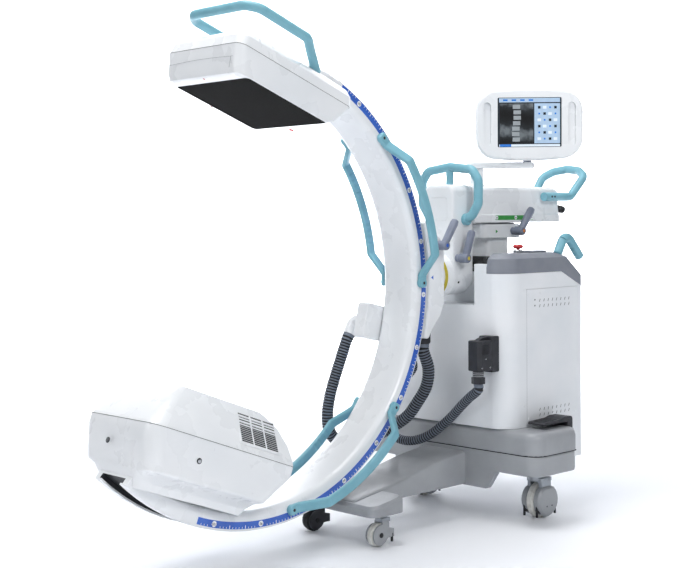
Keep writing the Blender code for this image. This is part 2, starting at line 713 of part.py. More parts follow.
# Front casters: small wheels in plate forks, each with one cable rod behind
def front_casters():
    wheel_x = FRONT_STEM_X - FRONT_TRAIL
    z = FRONT_WHEEL_RADIUS
    half = FRONT_WHEEL_WIDTH / 2
    for side, word, kind in ((-1, "left", "dark_grey"), (1, "right", "graphite")):
        y = side * FRONT_WHEEL_Y
        profile = [(0.004 + SLIDE, -half), (z * 0.5, -half), (z * 0.62, -half * 0.7), (z * 0.80, -half),
                   (z, -half * 0.7)]
        profile = profile + [(r, -c) for r, c in reversed(profile)]
        wheel = ring_body(profile, wheel_x, z, y, 20)
        node(wheel, "front_wheel_" + word, "tyre" if side < 0 else "graphite", (wheel_x, y, z))

        low = z - 0.0335
        outline = [(wheel_x + 0.0335 * cos(a), z + 0.0335 * sin(a)) for a in
                   [radians(90 + 180 * k / 12) for k in range(13)]]
        outline += [(wheel_x + 0.020, low + 0.010), (wheel_x + 0.030, z - 0.012),
                    (wheel_x + 0.058, z - 0.012),
                    (wheel_x + 0.058, z + 0.014), (FRONT_STEM_X + 0.010, z + 0.020), (FRONT_STEM_X + 0.010,
                                                                                      z + 0.0335)]
        fork = None
        for way in (-1, 1):
            ys = sorted((y + way * (half + 0.002), y + way * (half + 0.002 + FRONT_PLATE)))
            plate = prism(outline, ys[0], ys[1], "XZ")
            fork = plate if fork is None else unite(
                fork, plate, rod(0.004, y - half - 0.005, y + half + 0.005, wheel_x, z, "XZ", 12))
        wide = half + 0.002 + FRONT_PLATE
        bridge = prism(rectangle(FRONT_STEM_X - 0.020, FRONT_STEM_X + 0.0175, y - wide + 0.001,
                                 y + wide - 0.001, 0.004, 2),
                       2 * z + 0.002, 2 * z + 0.014)
        web = block(FRONT_STEM_X - 0.0195, FRONT_STEM_X + 0.0095, y - wide + 0.0005, y - half - 0.0026,
                    z + 0.02, 2 * z + 0.006)
        web2 = block(FRONT_STEM_X - 0.0195, FRONT_STEM_X + 0.0095, y + half + 0.0026, y + wide - 0.0005,
                     z + 0.02, 2 * z + 0.006)
        tie = block(wheel_x + 0.046, wheel_x + 0.0575, y - wide + 0.001, y + wide - 0.001, z - 0.008,
                    z + 0.010)
        rods = rod(0.0045, 0.009, z, wheel_x + 0.0515, y + side * (half + 0.004), steps=10)
        cap = rod(0.0145, 2 * z + 0.010, CROSSBAR_BOTTOM_Z - SEAT, FRONT_STEM_X, y, steps=16)
        stem = rod(0.0065, CROSSBAR_BOTTOM_Z - 0.01, CROSSBAR_BOTTOM_Z + 0.018, FRONT_STEM_X, y, steps=12)
        fork = unite(fork, web, web2, bridge, tie, rods, cap, stem)
        node(fork, "front_fork_" + word, kind, (FRONT_STEM_X, y, CROSSBAR_BOTTOM_Z))


def cart_outline(inset=0.0):
    return rounded(
        [(CART_FRONT_X + inset, -CART_HALF_WIDTH + inset), (CART_REAR_X - inset, -CART_HALF_WIDTH + inset),
         (CART_REAR_X - inset, CART_HALF_WIDTH - inset), (CART_FRONT_X + inset, CART_HALF_WIDTH - inset)],
        [CART_CORNER - inset, 0.016, 0.016, CART_CORNER - inset], 6)


def seam_line(offset):
    """The lower edge of the top cover, seen from the side, as (x, z) pairs from front to rear."""
    return [(CART_FRONT_X - 0.05, CART_TOP_Z + offset), (CART_REAR_X - 0.125, CART_TOP_Z + offset),
            (CART_REAR_X - 0.029, CART_TOP_Z - 0.045 + offset), (CART_REAR_X + 0.05,
                                                                 CART_TOP_Z - 0.085 + offset)]


def recess(extra):
    """The room that the head sinks into, as a cutter; extra makes it wider all round."""
    front = CART_FRONT_X - 0.1
    wide = RECESS_HALF_WIDTH + extra
    return prism(rounded([(front, -wide), (RECESS_REAR_X + extra, -wide), (RECESS_REAR_X + extra, wide),
                          (front, wide)],
                         [0, 0.025, 0.025, 0], 3), RECESS_FLOOR_Z - extra, 1.1)


# Cart: body shell, side panels, top cover, tray, front insert
def cart_pieces():
    body = prism(cart_outline(), CART_BOTTOM_Z, CART_TOP_Z)
    above = seam_line(0.0) + [(CART_REAR_X + 0.05, CART_TOP_Z + 0.1),
                              (CART_FRONT_X - 0.05, CART_TOP_Z + 0.1)]
    body = cut(body, prism(above, -0.4, 0.4, "XZ"))
    body = cut(body, block(CART_FRONT_X - 0.1, BASE_REAR_X + 0.048, -0.4, 0.4, 0.1, BASE_TOP_Z + SEAT))
    front = CART_FRONT_X
    body = unite(body, prism(
        rectangle(front, front + 0.03, -COVER_OPENING_HALF_WIDTH + SEAT, COVER_OPENING_HALF_WIDTH - SEAT,
                  0.003, 1),
        CART_TOP_Z - 0.01, CART_TOP_Z + INSERT_HEIGHT))
    body = cut(body, recess(0.0))
    body = cut(body,
               block(COLUMN_X - WELL_X, COLUMN_X + WELL_X, -WELL_Y, WELL_Y, COLUMN_BOTTOM_Z - 0.02, 1.0))
    high = CART_TOP_Z - 0.055
    for side in (-1, 1):
        ys = sorted((side * (CART_HALF_WIDTH - PANEL_THICKNESS - SEAT), side * (CART_HALF_WIDTH + 0.01)))
        body = cut(body, block(PANEL_FRONT_X, PANEL_REAR_X, ys[0], ys[1], BASE_TOP_Z + 0.012, high))
    node(body, "cart_body", "white")

    for side, word in ((-1, "left"), (1, "right")):
        ys = sorted((side * (CART_HALF_WIDTH - PANEL_THICKNESS), side * CART_HALF_WIDTH))
        panel = block(PANEL_FRONT_X + 0.0008, PANEL_REAR_X - 0.0008, ys[0], ys[1], BASE_TOP_Z + 0.0128,
                      high - 0.0008)
        bm = bmesh.new()
        start = PANEL_FRONT_X + 0.068
        pitch = (PANEL_REAR_X - 0.028 - start) / VENT_SLOTS
        for base_z in (CART_TOP_Z - 0.100, BASE_TOP_Z + 0.030):
            for row in range(2):
                z = base_z - row * VENT_ROW_PITCH if base_z > 0.5 else base_z + row * VENT_ROW_PITCH
                for k in range(VENT_SLOTS):
                    x = start + k * pitch
                    slant = 0.004
                    rings = []
                    for y in (ys[0] - 0.001, ys[1] + 0.001):
                        rings.append([bm.verts.new((x + a + slant * b / 0.010, y, z + b)) for a, b in
                                      ((0, 0), (0.003, 0), (0.003, 0.010), (0, 0.010))])
                    for j in range(4):
                        bm.faces.new((rings[0][j], rings[0][(j + 1) % 4], rings[1][(j + 1) % 4],
                                      rings[1][j]))
                    bm.faces.new(rings[0])
                    bm.faces.new(rings[1])
        panel = cut(panel, finish(bm))
        node(panel, "side_panel_" + word, "white")

    # Top cover: the cart's outline with a chamfered top, trimmed by its side view
    levels = ((CART_TOP_Z - 0.12, 0.0), (CART_TOP_Z + COVER_BAND, 0.0),
              (COVER_TOP_Z - 0.004, COVER_CHAMFER - 0.002),
              (COVER_TOP_Z, COVER_CHAMFER + 0.006))
    cover = solid([[Vector((x, y, z)) for x, y in cart_outline(inset)] for z, inset in levels])
    rear = CART_REAR_X
    side_view = seam_line(SEAT) + [
        (rear + 0.05, CART_TOP_Z - 0.03), (rear + 0.004, CART_TOP_Z - 0.03), (rear - 0.004,
                                                                              CART_TOP_Z - 0.021),
        (rear - 0.090, CART_TOP_Z + 0.044), (rear - 0.097, CART_TOP_Z + 0.052), (rear - 0.150,
                                                                                 COVER_TOP_Z + 0.001),
        (CART_FRONT_X - 0.05, COVER_TOP_Z + 0.001)]
    cover = common(cover, prism(side_view, -0.4, 0.4, "XZ"))
    wide = COVER_OPENING_HALF_WIDTH
    mouth = []
    for z, spread in ((CART_TOP_Z - 0.1, 0.0), (CART_TOP_Z + 0.02, 0.0), (COVER_TOP_Z + 0.01, 0.012)):
        shape = rounded([(CART_FRONT_X - 0.05, -wide - spread),
                         (COVER_OPENING_REAR_X + spread, -wide - spread),
                         (COVER_OPENING_REAR_X + spread, wide + spread), (CART_FRONT_X - 0.05,
                                                                          wide + spread)],
                        [0, 0.03, 0.03, 0], 3)
        mouth.append([Vector((x, y, z)) for x, y in shape])
    cover = cut(cover, solid(mouth))
    stop_top = COVER_TOP_Z
    cover = cut(cover,
                rod(ESTOP_RADIUS * 0.62, stop_top - 0.030, stop_top + 0.01, ESTOP_X, ESTOP_Y, steps=16))
    node(cover, "top_cover", "cover_grey")

    # Tray round the column, with the sleeve that guides it
    front = CART_FRONT_X + 0.0303
    tray_rear = COVER_OPENING_REAR_X - 0.001
    tray_wide = wide - 0.001
    tray_plan = rounded([(front, -tray_wide), (tray_rear, -tray_wide),
                         (tray_rear, tray_wide), (front, tray_wide)],
                        [0.004, 0.029, 0.029, 0.004], 3)
    tray = prism(tray_plan, CART_TOP_Z + SEAT, CART_TOP_Z + 0.030)
    dish = rectangle(front + 0.006, COVER_OPENING_REAR_X - 0.007, -wide + 0.007, wide - 0.007, 0.02, 3)
    tray = cut(tray, prism(dish, CART_TOP_Z + 0.014, CART_TOP_Z + 0.05))
    tray = cut(tray, recess(0.0012))
    half_x = COLUMN_LENGTH_X / 2 + SLIDE
    half_y = COLUMN_WIDTH_Y / 2 + SLIDE
    outer = rectangle(COLUMN_X - half_x - SLEEVE_WALL, COLUMN_X + half_x + SLEEVE_WALL,
                      -half_y - SLEEVE_WALL, half_y + SLEEVE_WALL, 0.0)
    tray = unite(tray, prism(outer, COVER_TOP_Z - SLEEVE_LENGTH, TRAY_TOP_Z))
    gusset = [(COLUMN_X + half_x + 0.004, CART_TOP_Z + 0.01),
              (COVER_OPENING_REAR_X - 0.012, CART_TOP_Z + 0.01),
              (COVER_OPENING_REAR_X - 0.012, CART_TOP_Z + 0.030), (COLUMN_X + half_x + 0.004,
                                                                   TRAY_TOP_Z - 0.001)]
    tray = unite(tray, prism(gusset, -0.045, 0.045, "XZ"))
    bore = rectangle(COLUMN_X - half_x, COLUMN_X + half_x, -half_y, half_y, COLUMN_CORNER, 3)
    tray = cut(tray, prism(bore, COVER_TOP_Z - SLEEVE_LENGTH - 0.01, 1.0))
    node(tray, "column_tray", "black")

    # Membrane panel on the left arm of the cover, and the stop button in front of it
    panel = prism(rectangle(ESTOP_X + 0.040, COVER_OPENING_REAR_X - 0.105, ESTOP_Y - 0.026,
                            ESTOP_Y + 0.018, 0.006, 3),
                  COVER_TOP_Z + SEAT, COVER_TOP_Z + 0.006)
    panel = soften(panel, 0.0015, 1, 60)
    node(panel, "control_panel", "dark_grey")
    ring = turned([(ESTOP_RADIUS * 0.6 - SEAT, stop_top - 0.028),
                   (ESTOP_RADIUS * 0.6 - SEAT, stop_top + SEAT),
                   (ESTOP_RADIUS, stop_top + SEAT), (ESTOP_RADIUS, stop_top + 0.008),
                   (ESTOP_RADIUS * 0.9, stop_top + 0.010)], ESTOP_X, ESTOP_Y, steps=20)
    ring = cut(ring, rod(0.0062 + SLIDE, stop_top - 0.018, stop_top + 0.02, ESTOP_X, ESTOP_Y, steps=16))
    node(ring, "e_stop_collar", "steel")
    low = stop_top + 0.010 + ESTOP_TRAVEL + 0.0006
    knob = turned([(0.0062, stop_top - 0.010), (0.0062, low), (0.0120, low), (ESTOP_RADIUS, low + 0.004),
                   (ESTOP_RADIUS + 0.0005, low + 0.008), (ESTOP_RADIUS - 0.002, low + 0.0125),
                   (0.008, low + 0.015)],
                  ESTOP_X, ESTOP_Y, steps=20)
    node(knob, "e_stop_button", "red", (ESTOP_X, ESTOP_Y, low))

    # Push grips: a post, a bend and a grip that slopes back down, with finger grooves below
    for side, word in ((-1, "left"), (1, "right")):
        y = side * CART_GRIP_Y
        foot = (CART_GRIP_X, y, COVER_TOP_Z - 0.012)
        path = bent([foot, (CART_GRIP_X + 0.048, y, 0.985), (CART_GRIP_X + 0.136, y, 0.893)], 0.030, 16)
        grip = bake(tube(path, CART_GRIP_DIAMETER, resolution=2))
        tip = turned([(CART_GRIP_DIAMETER / 2 * 0.96, -0.004), (CART_GRIP_DIAMETER / 2 * 0.92, 0.006),
                      (CART_GRIP_DIAMETER / 2 * 0.6, 0.012), (0.002, 0.014)], steps=12)
        way = (path[-1] - path[-2]).normalized()
        moved(tip, Matrix.Translation(path[-1]) @ way.to_track_quat("Z", "Y").to_matrix().to_4x4())
        grip = unite(grip, tip)
        under = way.cross(Vector((0, 1, 0))).normalized()
        if under.z > 0:
            under = -under
        for k in range(3):
            spot = path[-1] - way * (0.016 + 0.022 * k) + under * (CART_GRIP_DIAMETER / 2 + 0.0035)
            groove = rod(0.008, -0.03, 0.03, 0, 0, "XZ", 8)
            moved(groove, Matrix.Translation(spot))
            grip = cut(grip, groove)
        floor = prism([(CART_GRIP_X - 0.05, COVER_TOP_Z + 0.2), (CART_GRIP_X - 0.05, COVER_TOP_Z + SEAT),
                       (rear - 0.150, COVER_TOP_Z + SEAT + 0.0003), (rear - 0.097 + SEAT,
                                                                     CART_TOP_Z + 0.0527),
                       (rear - 0.090 + SEAT, CART_TOP_Z + 0.0447), (rear + 0.06, CART_TOP_Z - 0.070),
                       (rear + 0.10, CART_TOP_Z - 0.070), (rear + 0.10,
                                                           COVER_TOP_Z + 0.2)], y - 0.05, y + 0.05, "XZ")
        grip = common(grip, floor)
        node(grip, "cart_handle_" + word, "teal")

    # Connector: flange on the cart's front face, hood, cable neck and nut
    face = CART_FRONT_X - SEAT
    y0 = PLUG_Y - PLUG_HALF_WIDTH
    y1 = PLUG_Y + PLUG_HALF_WIDTH
    flange = soften(block(face - PLUG_FLANGE, face + 0.020, y0, y1 + 0.004, PLUG_BOTTOM_Z - 0.007,
                          PLUG_TOP_Z + 0.006), 0.003, 1, 60)
    curve_cut = prism(cart_outline(-SEAT), 0.3, 0.8)
    flange = cut(flange, curve_cut)
    node(flange, "connector_flange", "graphite")
    x1 = face - PLUG_FLANGE - SEAT
    x0 = x1 - PLUG_DEPTH
    plan = rounded([(x0, y0 + 0.012), (x0 + 0.012, y0), (x1, y0), (x1, y1), (x0, y1)],
                   [0.003, 0.003, 0.002, 0.002, 0.008], 2)
    hood = soften(prism(plan, PLUG_BOTTOM_Z, PLUG_TOP_Z - 0.006), 0.003, 1, 60)
    clip = prism(rounded([(x1 - 0.050, PLUG_TOP_Z - 0.010), (x1 - 0.002, PLUG_TOP_Z - 0.010),
                          (x1 - 0.002, PLUG_TOP_Z + 0.004),
                          (x1 - 0.020, PLUG_TOP_Z + 0.004), (x1 - 0.040, PLUG_TOP_Z - 0.002)], 0.002, 1),
                 PLUG_Y - 0.010, PLUG_Y + 0.010, "XZ")
    neck_x = x0 + 0.0235
    neck = rod(0.0185, PLUG_BOTTOM_Z - 0.024, PLUG_BOTTOM_Z + 0.01, neck_x, PLUG_Y, steps=20)
    nut = rod(0.0235, PLUG_BOTTOM_Z - 0.043, PLUG_BOTTOM_Z - 0.021, neck_x, PLUG_Y, steps=6)
    node(unite(hood, clip, neck, nut), "connector_hood", "graphite")
    return Vector((neck_x, PLUG_Y, PLUG_BOTTOM_Z - 0.043 - SEAT))


# Lifting column, swivel collar with its slide rail, and the arm that runs on the rail
def column_and_arm():
    outline = rectangle(COLUMN_X - COLUMN_LENGTH_X / 2, COLUMN_X + COLUMN_LENGTH_X / 2,
                        -COLUMN_WIDTH_Y / 2, COLUMN_WIDTH_Y / 2, COLUMN_CORNER, 4)
    column = prism(outline, COLUMN_BOTTOM_Z, COLUMN_TOP_Z)
    column = cut(column,
                 rod(PIVOT_RADIUS + SLIDE, COLUMN_TOP_Z - PIVOT_DEPTH - 0.001, COLUMN_TOP_Z + 0.01,
                     COLUMN_X, 0, steps=24))
    node(column, "lift_column", "white", (COLUMN_X, 0, COLUMN_BOTTOM_Z))

    plan = rectangle(COLUMN_X - COLLAR_FRONT, COLUMN_X + COLLAR_REAR, -COLLAR_HALF_WIDTH,
                     COLLAR_HALF_WIDTH, 0.022, 4)
    collar = soften(prism(plan, COLLAR_BOTTOM_Z, COLLAR_TOP_Z), 0.004, 2, 60)
    x0 = COLUMN_X - COLLAR_FRONT + 0.012
    x1 = COLUMN_X + COLLAR_REAR - 0.012
    neck_top = COLLAR_TOP_Z + ARM_GAP_Z + RAIL_NECK_HEIGHT
    foot = block(x0, x1, -RAIL_HALF_WIDTH, RAIL_HALF_WIDTH, COLLAR_TOP_Z - 0.004, ARM_BOTTOM_Z - SLIDE)
    neck = block(x0, x1, -RAIL_NECK, RAIL_NECK, COLLAR_TOP_Z - 0.002, neck_top + 0.002)
    head = block(x0, x1, -RAIL_HALF_WIDTH, RAIL_HALF_WIDTH, neck_top, neck_top + RAIL_HEAD_HEIGHT)
    pin = rod(PIVOT_RADIUS, COLLAR_BOTTOM_Z - PIVOT_DEPTH, COLLAR_BOTTOM_Z + 0.005, COLUMN_X, 0, steps=24)
    node(unite(collar, foot, neck, head, pin), "swivel_collar", "white", (COLUMN_X, 0, COLLAR_BOTTOM_Z))

    # Arm: its end view drawn once and extruded, then trimmed by its side view
    lip_top = ARM_BOTTOM_Z + ARM_LIP_HEIGHT
    wide = ARM_HALF_WIDTH + ARM_LIP
    end_view = rounded(
        [(-wide, ARM_BOTTOM_Z), (wide, ARM_BOTTOM_Z), (wide, lip_top - 0.004),
         (ARM_HALF_WIDTH - 0.002, lip_top + 0.002), (ARM_HALF_WIDTH - 0.006, lip_top + 0.04),
         (ARM_HALF_WIDTH, ARM_TOP_Z), (-ARM_HALF_WIDTH, ARM_TOP_Z),
         (-ARM_HALF_WIDTH + 0.006, lip_top + 0.04), (-ARM_HALF_WIDTH + 0.002, lip_top + 0.002),
         (-wide, lip_top - 0.004)],
        [0.003, 0.003, 0.002, 0.004, 0.06, 0.020, 0.020, 0.06, 0.004, 0.002], 3)
    arm = prism(end_view, ARM_FRONT_X, ARM_REAR_X, "YZ")
    side_view = rounded([(ARM_FRONT_X - 0.01, ARM_BOTTOM_Z - 0.01),
                         (ARM_REAR_X - 0.001, ARM_BOTTOM_Z - 0.01),
                         (ARM_REAR_X - 0.001, ARM_TOP_Z - 0.001), (ARM_FRONT_X - 0.01,
                                                                   ARM_TOP_Z - 0.001)], [0, 0.0, 0.032,
                                                                                         0], 5)
    arm = common(arm, prism(side_view, -0.2, 0.2, "XZ"))
    s0 = x0 - SLIDE - 0.002
    s1 = x1 + ARM_TRAVEL + 0.003
    arm = cut(arm, block(s0, s1, -RAIL_NECK - SLIDE, RAIL_NECK + SLIDE, ARM_BOTTOM_Z - 0.01, neck_top))
    arm = cut(arm, block(s0, s1, -RAIL_HALF_WIDTH - SLIDE, RAIL_HALF_WIDTH + SLIDE,
                         neck_top - SLIDE, neck_top + RAIL_HEAD_HEIGHT + SLIDE))
    node(arm, "arm_housing", "white", (ARM_FRONT_X, 0, ARM_BOTTOM_Z))

    # Head: round below, about the angulation axis, with a recess for the access cover
    radius = HEAD_HALF_WIDTH
    arc = [(radius * sin(radians(a)), AXIS_Z - radius * cos(radians(a))) for a in range(-90, 91, 15)]
    upper = rounded([(-HEAD_HALF_WIDTH, AXIS_Z + 0.06), (HEAD_HALF_WIDTH, AXIS_Z + 0.06),
                     (HEAD_HALF_WIDTH, HEAD_TOP_Z),
                     (-HEAD_HALF_WIDTH, HEAD_TOP_Z)], [0, 0, 0.028, 0.028], 4)
    view = arc + upper[1:] + upper[:1]
    head = soften(prism(view, HEAD_FRONT_X, HEAD_REAR_X, "YZ"), 0.014, 2, 50)
    cover_view = rectangle(-0.042, 0.042, HEAD_TOP_Z - 0.125, HEAD_TOP_Z - 0.045, 0.010, 3)
    head = cut(head, prism(cover_view, HEAD_FRONT_X - 0.01, HEAD_FRONT_X + 0.003, "YZ"))
    head = cut(head, rod(0.030 + SLIDE, HEAD_FRONT_X - 0.01, HEAD_FRONT_X + 0.050, 0, AXIS_Z, "YZ", 24))
    node(head, "arm_head", "white", (HEAD_FRONT_X, 0, AXIS_Z))
    inner_view = rectangle(-0.0415, 0.0415, HEAD_TOP_Z - 0.1245, HEAD_TOP_Z - 0.0455, 0.0095, 3)
    node(prism(inner_view, HEAD_FRONT_X, HEAD_FRONT_X + 0.003 - SEAT, "YZ"), "head_access_cover", "white")

    # Front loop handle with its feet on the head's sides and a post on its top
    x = HEAD_FRONT_X + 0.063
    z = HEAD_TOP_Z
    side = HEAD_HALF_WIDTH + SEAT
    half = [(side + 0.002, z - 0.120), (side + 0.032, z - 0.108), (side + 0.060, z - 0.068),
            (side + 0.061, z + 0.012),
            (side + 0.033, z + 0.050)]
    points = [(x, -a, b) for a, b in half] + [(x, 0, z + 0.062)] + [(x, a, b) for a, b in reversed(half)]
    loop = bake(tube(bent(points, 0.030, 24), FRONT_LOOP_DIAMETER, resolution=2))
    for way in (-1, 1):
        ys = sorted((way * (side - 0.01), way * (side + 0.016)))
        boss = prism(rectangle(x - 0.018, x + 0.018, z - 0.142, z - 0.100, 0.012, 3), ys[0], ys[1], "XZ")
        loop = unite(loop, boss)
    loop = unite(loop, rod(0.0125, z - 0.01, z + 0.055, x, 0, steps=16, top=0.016))
    loop = cut(loop, prism(rectangle(-side, side, z - 0.2, z + SEAT, 0), x - 0.05, x + 0.05, "YZ"))
    node(loop, "front_loop_handle", "teal")

    # Rear loop handle: feet along the arm's sides, loop behind and above
    side = ARM_HALF_WIDTH + SEAT
    bar_z = ARM_TOP_Z - 0.036
    foot_x = ARM_REAR_X - 0.112
    half = [(foot_x, side + 0.015, bar_z), (ARM_REAR_X + 0.046, side + 0.017, bar_z),
            (ARM_REAR_X + 0.118, side + 0.028, bar_z + 0.078), (ARM_REAR_X + 0.138, side - 0.010,
                                                                bar_z + 0.100),
            (ARM_REAR_X + 0.148, 0.0, bar_z + 0.108)]
    points = [(a, -b, c) for a, b, c in half[:-1]] + [half[-1]] + [(a, b, c) for a, b,
                                                                   c in reversed(half[:-1])]
    loop = bake(tube(bent(points, 0.030, 18), REAR_LOOP_DIAMETER, resolution=2))
    for way in (-1, 1):
        ys = sorted((way * (side - 0.016), way * (side + 0.014)))
        loop = unite(loop,
                     block(foot_x + 0.004, foot_x + 0.072, ys[0], ys[1], bar_z - 0.012, bar_z + 0.012))
    loop = cut(loop, prism(grown(end_view, SEAT), foot_x - 0.05, ARM_REAR_X + 0.004, "YZ"))
    node(loop, "rear_loop_handle", "teal")


def lever(name, hub, out, arm_way, arm_side, length=None):
    """A clamp lever: a hub that stands out of a housing, a tapering arm and a round end cap."""
    length = length or LEVER_HUB_LENGTH
    out = Vector(out).normalized()
    arm_way = Vector(arm_way).normalized()
    hub = Vector(hub)
    turn = out.to_track_quat("Z", "Y").to_matrix().to_4x4()
    body = turned([(LEVER_HUB_RADIUS * 0.82, 0.0), (LEVER_HUB_RADIUS * 0.82, 0.012),
                   (LEVER_HUB_RADIUS, 0.016),
                   (LEVER_HUB_RADIUS, length - 0.004), (LEVER_HUB_RADIUS * 0.82, length)], steps=14)
    moved(body, Matrix.Translation(hub + out * SEAT) @ turn)
    start = hub + out * (length - LEVER_HUB_RADIUS * 0.95)
    reach = turned([(0.0125, 0.0), (0.0135, LEVER_ARM * 0.30), (0.0145, LEVER_ARM * 0.85),
                    (0.0120, LEVER_ARM * 0.96), (0.0050, LEVER_ARM)], steps=12)
    slope = (arm_way + out * arm_side).normalized()
    moved(reach, Matrix.Translation(start) @ slope.to_track_quat("Z", "Y").to_matrix().to_4x4())
    node(unite(body, reach), name, "dark_grey", hub)


def levers():
    lever("carriage_lever", (RING_X + 0.752, -CARRIAGE_HALF_WIDTH, 0.948), (0, -1, 0), (0.50, 0, 0.86),
          0.10)
    lever("angulation_lever", (HEAD_FRONT_X + 0.0215, -HEAD_HALF_WIDTH, 0.901), (0, -1, 0),
          (0.26, 0, 0.96), 0.10)
    lever("swivel_lever", (COLUMN_X + 0.050, -COLLAR_HALF_WIDTH, 0.991), (0, -1, 0), (0.56, 0, 0.83), 0.10)
    lever("arm_lever", (ARM_REAR_X - 0.001, 0.036, 1.083), (1, 0, 0), (0, -0.98, -0.18), 0.10)


# Disc and carriage turn together on the angulation axis
def carriage_pieces():
    profile = [(0.030, DISC_REAR_X + 0.045), (0.030, DISC_REAR_X), (DISC_RADIUS - 0.002, DISC_REAR_X),
               (DISC_RADIUS, DISC_REAR_X - 0.002), (DISC_RADIUS, DISC_FRONT_X + DISC_STEP),
               (DISC_RADIUS * 0.8, DISC_FRONT_X + DISC_STEP), (DISC_RADIUS * 0.8, DISC_FRONT_X)]
    disc = turned(profile, 0, AXIS_Z, "YZ", 28)
    node(disc, "rotation_disc", "white", (DISC_REAR_X, 0, AXIS_Z))

    # Carriage: its front follows the C, its back runs out into the ends
    inner = RING_OUTER + TRACK_GAP
    side_view = []
    for k in range(13):
        a = radians(-CARRIAGE_REACH + 2 * CARRIAGE_REACH * k / 12)
        side_view.append((RING_X + inner * cos(a), RING_CENTRE_Z + inner * sin(a)))
    top = side_view[-1]
    low = side_view[0]
    back = CARRIAGE_REAR_X
    side_view += [(top[0] + 0.022, top[1] + 0.004), (top[0] + 0.036, top[1] - 0.022),
                  (back - 0.018, AXIS_Z + 0.130),
                  (back - 0.002, AXIS_Z + 0.094), (back, AXIS_Z + 0.083), (back, AXIS_Z - 0.083),
                  (back - 0.003, AXIS_Z - 0.094), (back - 0.020, AXIS_Z - 0.130), (low[0] + 0.034,
                                                                                   low[1] + 0.018),
                  (low[0] + 0.022, low[1] - 0.004)]
    carriage = prism(side_view, -CARRIAGE_HALF_WIDTH, CARRIAGE_HALF_WIDTH, "XZ")
    carriage = soften(carriage, 0.006, 2, 50)
    node(carriage, "carriage", "white", (RING_X + inner, 0, AXIS_Z))

    # Two shoes under the track's lips hold the C, on necks that reach in through its mouth
    lip_low = RING_OUTER - TRACK_LIP
    floor = RING_OUTER - TRACK_DEPTH
    neck = TRACK_MOUTH - 0.003
    foot = TRACK_UNDERCUT - 0.0015
    section = [(inner - SEAT, -neck), (inner - SEAT, neck), (lip_low - 0.001, neck),
               (lip_low - 0.001, foot),
               (floor + 0.0015, foot), (floor + 0.0015, -foot), (lip_low - 0.001, -foot), (lip_low - 0.001,
                                                                                           -neck)]
    shoe = swept(section, -CARRIAGE_REACH + 2.2, CARRIAGE_REACH - 2.2, RING_STEP)
    moved(shoe, Matrix.Translation((RING_X, 0, RING_CENTRE_Z)))
    node(shoe, "track_shoe", "black", (RING_X + inner, 0, AXIS_Z))

    gland_x = low[0] + 0.028
    places = []
    for side, word, size in ((-1, "left", LOOP_HOSE_DIAMETER), (1, "right", CART_HOSE_DIAMETER)):
        top_z = low[1] + 0.0225
        y = side * GLAND_SIDE
        big = size / 2 + 0.004
        gland = turned([(big * 0.8, top_z), (big, top_z - 0.004), (big, top_z - 0.040),
                        (big * 0.9, top_z - 0.046)],
                       gland_x + 0.012, y, steps=20)
        reach = CARRIAGE_HALF_WIDTH + 0.02
        gland = cut(gland, prism(grown(side_view, SEAT), -reach, reach, "XZ"))
        node(gland, "carriage_gland_" + word, "graphite")
        places.append(Vector((gland_x + 0.012, y, top_z - 0.046 - SEAT)))
    return places


def grown(outline, by):
    """An outline pushed outwards by a small amount."""
    area = sum(a[0] * b[1] - b[0] * a[1] for a, b in zip(outline, outline[1:] + outline[:1]))
    sign = 1 if area > 0 else -1
    result = []
    for k, here in enumerate(outline):
        before = Vector(outline[k - 1])
        after = Vector(outline[(k + 1) % len(outline)])
        along = (after - before).normalized()
        result.append((here[0] + sign * along.y * by, here[1] - sign * along.x * by))
    return result


def ring_point(radius, angle, y):
    return Vector((radius * cos(radians(angle)), y, radius * sin(radians(angle))))


